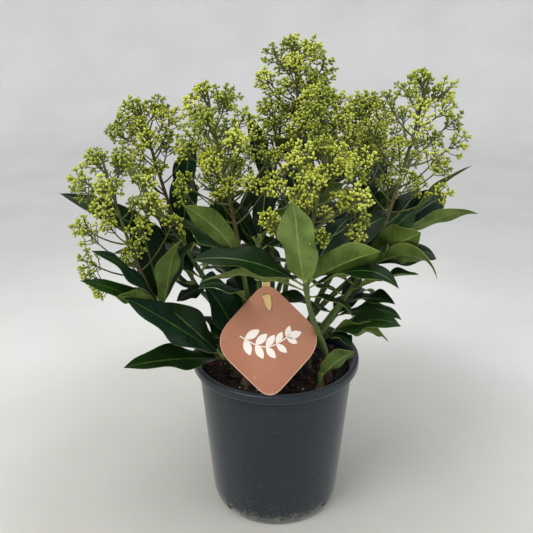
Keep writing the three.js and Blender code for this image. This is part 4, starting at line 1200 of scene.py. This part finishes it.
def strap_strip():
    """The strip in the tag's plane: down the back, a smooth step through the slot, then the tongue.

    The tongue hangs a little askew and narrows by (1 - u^2.4)^0.7 at the share u of its length.
    """
    slot = TAG["height"] / 2 - TAG["slot_below"]
    y = np.concatenate([np.linspace(TAG["height"] / 2 + STRAP["above"], slot + 3, 8),
                        np.linspace(slot + 2, slot - 2, 9),
                        np.linspace(slot - 3, slot - STRAP["tongue"], 12)])
    z = STRAP["behind"] * np.clip((slot - y) / STRAP["step"], -1, 1)
    hanging = np.clip((slot - y) / STRAP["tongue"], 0, 0.995)
    widths = STRAP["width"] * (1 - hanging ** 2.4) ** 0.7
    path = np.stack([STRAP["skew"] * STRAP["tongue"] * hanging, y, z], axis=1)
    return in_tag_plane(ribbon(path, widths, ALONG_X, STRAP["thickness"]))


def strap_loop():
    """The link up to the stem, and the ring round it as a hoop of flat section."""
    centre, axis = strap_ring()
    start = in_tag_plane(np.array([0, TAG["height"] / 2 + STRAP["above"] - 1, -STRAP["behind"]]))
    away = start - centre
    away = unit(away - axis * (away @ axis))
    inner = STEM["tip"] + STRAP["ring_gap"]
    end = centre + away * (inner + STRAP["link_bites"])
    path = start + (end - start) * np.linspace(0, 1, STRAP["link_rows"])[:, None]
    link = ribbon(path, np.full(len(path), STRAP["width"]), ALONG_X, STRAP["thickness"])
    phi = np.linspace(0, 2 * np.pi, STRAP["ring_columns"], endpoint=False)[:, None]
    square = np.cross(axis, away)
    round_stem = away * np.cos(phi) + square * np.sin(phi)
    half = STRAP["width"] / 2
    outer = inner + STRAP["ring_wall"]
    section = [(inner, -half), (outer, -half), (outer, half), (inner, half)]
    hoop = np.stack([centre + round_stem * r + axis * h for r, h in section])[None]
    return link, hoop


# Tan strap stock: smooth, faintly fibrous, a soft gloss.
tan_strap = mottled("tan_strap_stock", ("bd9a55", "d3b67e"), 7, 0.36, relief=0.03, grain=0.7, stretch=5)

link, hoop = strap_loop()
points, walls, _ = skin(hoop, hoop=True)
parts = [in_one_look(strap_strip()), in_one_look(link), (points, [(walls, 0)])]
strap = new_object("tag_strap_band", parts, [tan_strap])
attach(strap, "root")
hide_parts("tag_strap")

# ---------------------------------------------------------------- leaves
# Leathery evergreen leaves: a thick smooth blade that tapers to both ends, dark and satin above with
# a sunk pale midrib, lighter olive green and matt below with the midrib standing proud.

BLADE = {
    "rows": 27, "thickness": 0.8, "edge": 0.28, "groove": 0.35, "ridge": 0.75, "rib": 1.1,
    "pointing": (1.17, 0.2), "fuller": (0.07, 0.24, 0.14), "bow": 0.06, "dip": (0.42, 0.72, 1.6),
    "wave": 0.25, "waves": (1.7, 0.9), "wave_out": 2.2, "curl": 0.14, "folds": 0.55, "thinnest": 0.12,
    "crowds": 1.15, "rib_fades": 0.75, "thins_from": 2.5, "thins_to": 0.25,
}
GOLDEN_SHARE = 0.381966
VEIN = {"every": 6.5, "slant": -0.9, "from": 0.72, "strength": 0.2, "grain": 1.3, "grain_share": 0.35}
LEAF_PATCH = 22
ACROSS = np.array([-1, -0.86, -0.66, -0.44, -0.2, -0.05, 0.05, 0.2, 0.44, 0.66, 0.86, 1])


def leaf_rings(name, leaf, phase):
    """One leaf as rings round its blade, over the upper side from edge to edge and back below.

    The half-width narrows by (1 - s)^0.2 to a point and fills out near the stalk. The blade folds up
    from the midrib, bows to one side, dips at the tip, and waves and curls at its margin. The midrib
    is a bell curve across the blade, sunk in the upper side and raised on the underside. The fold is
    rounded off at the midrib as sqrt(v^2 + 0.01) - 0.1. phase gives each leaf its own amounts.
    """
    s = 1 - (1 - np.linspace(0, 1, BLADE["rows"])) ** BLADE["crowds"]
    own = 2 * np.pi * phase
    centre, side, upper = blade_frames(leaf_root(name, leaf), leaf, s)
    narrow = BLADE["pointing"][0] * (1 - s) ** BLADE["pointing"][1]
    amount, at, spread = BLADE["fuller"]
    fuller = amount * np.exp(-((s - at) / spread) ** 2)
    half = np.maximum(half_width(s + fuller, leaf[4]) * narrow, BLADE["thinnest"])[:, None]
    bow = BLADE["bow"] * leaf[3] * s ** 2 * math.sin(5 * own)
    amount, at, power = BLADE["dip"]
    dip = amount * leaf[3] * np.clip(s - at, 0, 1) ** power * (1 + math.cos(3 * own))
    centre = centre + side * bow[:, None] - upper * dip[:, None]
    v = ACROSS[None]
    rib = np.exp(-(v * half / BLADE["rib"]) ** 2) * (1 - BLADE["rib_fades"] * s[:, None])
    fewest, more = BLADE["waves"]
    beat = 2 * np.pi * ((fewest + more * phase) * s[:, None] + 3 * phase) + (1.3 + own) * np.sign(v)
    out = np.abs(v) ** BLADE["wave_out"]
    wave = BLADE["wave"] * half * out * np.sin(beat) * np.sin(np.pi * s[:, None]) ** 0.5
    curl = BLADE["curl"] * half * v ** 4 * math.sin(own)
    fold = LEAF["fold"] * (1 + BLADE["folds"] * math.sin(2 * own + 1))
    bend = fold * half * (np.sqrt(v ** 2 + 0.01) - 0.1) + wave + curl
    body = BLADE["edge"] / 2 + (BLADE["thickness"] - BLADE["edge"]) / 2 * np.sqrt(np.clip(1 - v ** 2, 0, 1))
    body = body * np.clip(half / BLADE["thins_from"], BLADE["thins_to"], 1)
    rise = [bend + body - BLADE["groove"] * rib, bend - body - BLADE["ridge"] * rib]
    flat = centre[:, None] + side[:, None] * (half * v)[..., None]
    above, below = (flat + upper[:, None] * h[..., None] for h in rise)
    return np.concatenate([above, below[:, ::-1]], axis=1)


def leaf_finish(name, tones, vein_tone, roughness, relief, gloss):
    """A leaf surface: side veins every few mm that run up from the midrib at a slant, and fine grain.

    The mesh's "blade" attribute holds the place across and along the leaf, in mm.
    """
    material, tree, place = blank_finish(name)
    blade = add(tree, "Attribute", {"attribute_name": "blade"})
    axes = add(tree, "SeparateXYZ", None, {0: blade.outputs["Vector"]})
    out = add(tree, "Math", {"operation": "ABSOLUTE"}, {0: axes})
    slant = add(tree, "Math", {"operation": "MULTIPLY_ADD", 1: VEIN["slant"]}, {0: out, 2: axes.outputs[1]})
    beat = add(tree, "Math", {"operation": "MULTIPLY", 1: 2 * math.pi / VEIN["every"]}, {0: slant})
    wave = add(tree, "Math", {"operation": "SINE"}, {0: beat})
    vein = add(tree, "MapRange", {"From Min": VEIN["from"], "From Max": 1.0}, {"Value": wave})
    faint = add(tree, "Math", {"operation": "MULTIPLY", 1: VEIN["strength"]}, {0: vein})
    green = drifting(tree, place, tones, LEAF_PATCH, 2.0)
    tone = add(tree, "Mix", {"data_type": "RGBA", 7: rgb(vein_tone)}, {0: faint, 6: green}).outputs[2]
    fine = add(tree, "TexNoise", {"Scale": 1000 / VEIN["grain"], "Detail": 1.0}, {"Vector": place})
    height = add(tree, "Math", {"operation": "MULTIPLY_ADD", 1: VEIN["grain_share"]}, {0: fine, 2: vein})
    bump = add(tree, "Bump", {"Strength": 1.0, "Distance": relief / 1000}, {"Height": height})
    shine = {"Roughness": roughness, "Specular IOR Level": gloss}
    surfaced(tree, shine, {"Base Color": tone, "Normal": bump})
    return material


# Upper side: a waxy cuticle over very dark green, so it takes a cool sheen. Lower side: matt olive.
leaf_looks = [
    leaf_finish("waxy_leaf_top_deep", ("091c07", "0e2507"), "1e3a0e", 0.43, -0.05, 0.12),
    leaf_finish("waxy_leaf_top_blue", ("091d10", "102a19"), "20401f", 0.42, -0.05, 0.15),
    leaf_finish("waxy_leaf_top_green", ("10270a", "1a370c"), "2e5016", 0.45, -0.05, 0.15),
    leaf_finish("matt_leaf_underside", ("43571f", "627633"), "768843", 0.6, 0.05, 0.2),
    leaf_finish("pale_leaf_underside", ("546a2c", "788d48"), "879850", 0.6, 0.05, 0.2),
    leaf_finish("deep_leaf_underside", ("304016", "4a5e26"), "5b6d30", 0.6, 0.05, 0.2),
]
DEEP, BLUE, GREEN, MATT, PALE, DARK = range(len(leaf_looks))
# Midrib and stalk: smooth yellow-green, a little paler than the blade's underside, and darker above.
MIDRIB, SUNK_RIB = len(leaf_looks), len(leaf_looks) + 1
leaf_looks.append(mottled("midrib_green", ("76863a", "8f9c48"), 6, 0.5))
leaf_looks.append(mottled("sunk_midrib_green", ("27430f", "3d5c1e"), 6, 0.45))

grown = [(name, leaf) for name in SHOOTS for leaf in leaves[name]]
rings = np.stack([leaf_rings(name, leaf, (GOLDEN_SHARE * i) % 1) for i, (name, leaf) in enumerate(grown)])
points, walls, ends = skin(rings)
wide = len(ACROSS)
middle = wide // 2 - 1
looks = np.empty((len(grown), BLADE["rows"] - 1, 2 * wide), dtype=int)
looks[:, :, :wide] = np.resize((DEEP, DEEP, BLUE, DEEP, GREEN, DEEP, BLUE), len(grown))[:, None, None]
looks[:, :, wide:] = np.resize((MATT, PALE, MATT, DARK, MATT), len(grown))[:, None, None]
looks[:, :, middle] = SUNK_RIB
looks[:, :, [wide + middle, wide - 1, 2 * wide - 1]] = MIDRIB
looks[:, :3] = MIDRIB
foliage = new_object("leaves", [(points, [(walls, looks.ravel()), (ends, MIDRIB)])], leaf_looks, crease=70)

widths, lengths = (np.array([leaf[i] for _, leaf in grown])[:, None, None] for i in (4, 3))
blade_place = np.zeros((len(grown), BLADE["rows"], 2 * wide, 3))
blade_place[..., 0] = np.concatenate([ACROSS, ACROSS[::-1]]) * widths / 2
blade_place[..., 1] = np.linspace(0, 1, BLADE["rows"])[:, None] * lengths
attribute = foliage.data.attributes.new("blade", "FLOAT_VECTOR", "POINT")
attribute.data.foreach_set("vector", blade_place.ravel())
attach(foliage, "root")
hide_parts(*[f"leaves_{name}" for name in SHOOTS])

# ---------------------------------------------------------------- flower heads
# Branched panicles of closed buds: a ribbed stalk, side twigs that fork again and again, and small egg-shaped
# buds on short stalks, yellow-green with paler tips that are partly their own colour and partly a painted
# highlight.

# Each kind of twig: its radii at the foot and at the tip, and how many sides it has.
TWIG = {"stalk": (1.8, 0.9, 8), "twig": (0.8, 0.5, 6), "fork": (0.44, 0.32, 4), "pedicel": (0.27, 0.34, 3)}
# The shares of its curve that a stalk's rings run between, and how many there are.
STALK_RUN = (0, 0.95, 40)
SAG = 0.1
HEAD_SEED = 23
INNER = {"count": 9, "radius": 6.0, "first": 60, "highest": 0.97, "lowest": 0.14, "reach": (0.1, 0.2)}
FORKS = {"count": 9, "spray": (0.6, 1.3), "fan": 1.4, "back": 0.8, "first": 0.3}
BUDS = {
    "a_fork": 5, "lean": (12, 56), "sway": (-0.2, 0.2), "further_back": 0.76, "upward": 0.8,
    "length": (2.2, 2.9), "width": 0.86, "pedicel": (0.7, 1.7), "overlap": 0.3,
    "sides": 5, "rings": (0, 0.45, 1.0), "girth": (0.45, 1.0, 0.36),
}


def inner_twigs(name):
    """Short twigs between the long ones, by the golden angle, out to a third or so of the head's width."""
    shoot = SHOOTS[name]
    stalk = stalk_curve(name)
    made = []
    for k in range(INNER["count"]):
        level = (k + 0.5) / INNER["count"]
        t = shoot["start"] + (INNER["highest"] - shoot["start"]) * level
        tangent = heading_at(stalk, t)
        a, b = framed(tangent)
        turn = math.radians(k * GOLDEN_ANGLE + INNER["first"])
        least, more = INNER["reach"]
        reach = shoot["width"] * (least + more * ((k * GOLDEN_SHARE) % 1)) * math.sqrt(1 - level ** 2)
        foot = along(stalk, max(INNER["lowest"], t - INNER["lowest"]))
        centre = along(stalk, t) + reach * (a * math.cos(turn) + b * math.sin(turn))
        made.append((foot, centre, INNER["radius"]))
    return made


def framed(direction):
    """Two vectors square to each direction and to one another."""
    steady = np.where(np.abs(direction[..., 2:]) < 0.8, [0.0, 0, 1], [1.0, 0, 0])
    a = unit(np.cross(direction, steady))
    return a, np.cross(direction, a)


def bowed(start, end, sag, count):
    """Paths from start to end that hang below the straight line by sag at the middle: 4 t (1 - t)."""
    t = np.linspace(0, 1, count)[:, None]
    path = start[:, None] + (end - start)[:, None] * t
    path[..., 2] -= sag[:, None] * 4 * t[:, 0] * (1 - t[:, 0])
    return path


def twig_rings(kind, paths):
    """Rings round paths, with radii that go evenly from the foot to the tip of a kind of twig."""
    foot, tip, sides = TWIG[kind]
    radii = np.broadcast_to(np.linspace(foot, tip, paths.shape[1]), paths.shape[:2])
    return rings_round(paths, radii, sides)


def fanned(axis, cosine, turn):
    """Directions round each axis: cosine along it, and the rest at a turn round it."""
    a, b = framed(axis)
    square = a[:, None] * np.cos(turn)[..., None] + b[:, None] * np.sin(turn)[..., None]
    return axis[:, None] * cosine[..., None] + square * np.sqrt(1 - cosine ** 2)[..., None]


all_twigs = [twig for name in twigs for twig in twigs[name] + inner_twigs(name)]
feet, centres, reaches = (np.array(values) for values in zip(*all_twigs))
dice = np.random.default_rng(HEAD_SEED)
run = np.linalg.norm(centres - feet, axis=1)
axis = (centres - feet) / run[:, None]
side_paths = bowed(feet, centres, SAG * run, 6)

# Forks end all through the cluster: cos(angle from the twig) falls evenly, azimuth by golden angle.
j = np.arange(FORKS["count"])
cosine = 1 - FORKS["fan"] * (j + 0.5) / FORKS["count"]
turn = np.radians(j * GOLDEN_ANGLE) + dice.uniform(0, 2 * np.pi, (len(feet), 1))
fork_reach = reaches[:, None] * dice.uniform(*FORKS["spray"], turn.shape)
fork_end = centres[:, None] + fanned(axis, cosine, turn) * fork_reach[..., None]
share = np.clip(1 + reaches[:, None] * (cosine - FORKS["back"]) / run[:, None], FORKS["first"], 1)
fork_start = feet[:, None] + (centres - feet)[:, None] * share[..., None]
fork_start[..., 2] -= SAG * run[:, None] * 4 * share * (1 - share)
fork_start, fork_end = fork_start.reshape(-1, 3), fork_end.reshape(-1, 3)
fork_run = np.linalg.norm(fork_end - fork_start, axis=1)
fork_paths = bowed(fork_start, fork_end, SAG * fork_run, 4)

# Buds: one straight on from each fork's end, two leaning out round it, two on its side further back.
heading = unit(fork_end - fork_start + [0, 0, BUDS["upward"]])
k = np.arange(BUDS["a_fork"])
straight, aside = BUDS["lean"]
lean = np.radians(np.where(k == 0, straight, aside)) + dice.uniform(*BUDS["sway"], (len(heading), len(k)))
spin = 2 * np.pi * k / (BUDS["a_fork"] - 1) + dice.uniform(0, 2 * np.pi, (len(heading), 1))
bud_heading = unit(fanned(heading, np.cos(lean), spin).reshape(-1, 3))
back = np.where((k == 0) | (k % 2 == 1), 1.0, BUDS["further_back"])
bud_from = fork_start[:, None] + (fork_end - fork_start)[:, None] * back[:, None]
bud_from[..., 2] -= 4 * SAG * fork_run[:, None] * back * (1 - back)
bud_from = bud_from.reshape(-1, 3)
bud_foot = bud_from + bud_heading * dice.uniform(*BUDS["pedicel"], len(bud_from))[:, None]
bud_length = dice.uniform(*BUDS["length"], len(bud_from))[:, None]
bud_paths = bud_foot[:, None] + bud_heading[:, None] * (bud_length * BUDS["rings"])[..., None]
bud_rings = rings_round(bud_paths, bud_length * BUDS["width"] / 2 * BUDS["girth"], BUDS["sides"])

# Stalk and twigs: smooth olive skin, browner on the bare lower part of the stalk.
olive_skin = mottled("olive_twig_skin", ("3f4518", "545c22"), 8, 0.55, relief=0.05, grain=0.8)
brown_skin = mottled("reddish_stalk_skin", ("4c441f", "5f552a"), 8, 0.55, relief=0.08, grain=0.9)
dark_skin = mottled("dark_twig_skin", ("353e14", "48531d"), 8, 0.6, relief=0.05, grain=0.8)

parts = []
for name in twigs:
    t = np.linspace(*STALK_RUN)
    points, walls, ends = skin(twig_rings("stalk", along(stalk_curve(name), t)[None]))
    lower = np.repeat(t[:-1] < SHOOTS[name]["start"], TWIG["stalk"][2])
    parts.append((points, [(walls, lower.astype(int)), (ends, 0)]))
parts.append(in_one_look(twig_rings("twig", side_paths), 0))
parts.append(in_one_look(twig_rings("fork", fork_paths), 2))
branches = new_object("flower_twigs", parts, [olive_skin, brown_skin, dark_skin], crease=80)
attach(branches, "root")
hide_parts(*[f"flowers_{name}" for name in twigs])

pedicels = np.stack([bud_from, bud_foot + bud_heading * BUDS["overlap"]], axis=1)
stalk_part = in_one_look(twig_rings("pedicel", pedicels))
bud_stalks = new_object("bud_stalks", [stalk_part], [olive_skin], crease=80)
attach(bud_stalks, "root")

# Buds: firm and waxy, yellow-green, with paler tops that are partly the petals' own paler tips and partly a
# painted highlight. Each cluster takes one tint, and the head at the front takes more of the light tint and
# less of the green: painted light that sets it apart from the heads behind, which stay darker as if in their
# shade.
soft_wax = {"Specular IOR Level": 0.25}
bud_looks = [
    mottled("waxy_bud_yellow_green", ("919b26", "b0b640"), 3, 0.5, shader=soft_wax),
    mottled("waxy_bud_green", ("717f1c", "89952a"), 3, 0.5, shader=soft_wax),
    mottled("waxy_bud_light", ("acb43e", "c8ce5c"), 3, 0.5, shader=soft_wax),
    # The tip tone on each bud's top cap: partly the petals' paler tips, partly a painted highlight on the lit
    # tops.
    mottled("waxy_bud_tip", ("dfe084", "eeeea2"), 3, 0.45, shader=soft_wax),
]
YELLOW, LEEK, LIGHT, TIP = range(len(bud_looks))
TINTS = {name: (YELLOW, LEEK, YELLOW, LIGHT, LEEK, LEEK, YELLOW) for name in twigs}
# Painted light: in every seven clusters the front head gets the light tint twice and the green once, and the
# heads behind get the light tint once and the green three times.
TINTS["front"] = (YELLOW, LIGHT, YELLOW, YELLOW, LEEK, LIGHT, YELLOW)
cluster_look = [np.resize(TINTS[name], len(twigs[name]) + INNER["count"]) for name in twigs]
bud_look = np.repeat(np.concatenate(cluster_look), FORKS["count"] * BUDS["a_fork"])
wall_look = np.repeat(bud_look, 2 * BUDS["sides"]).reshape(-1, 2, BUDS["sides"])
for label, chosen in zip(("left", "middle", "right"), np.array_split(np.arange(len(bud_rings)), 3)):
    points, walls, ends = skin(bud_rings[chosen])
    # Top caps take the tip tone, partly a painted highlight; the bottom caps keep the bud's tint.
    cap_look = np.concatenate([bud_look[chosen], np.full(len(chosen), TIP)])
    buds = new_object(f"buds_{label}", [(points, [(walls, wall_look[chosen].ravel()), (ends, cap_look)])],
                      bud_looks, crease=80)
    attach(buds, "root")
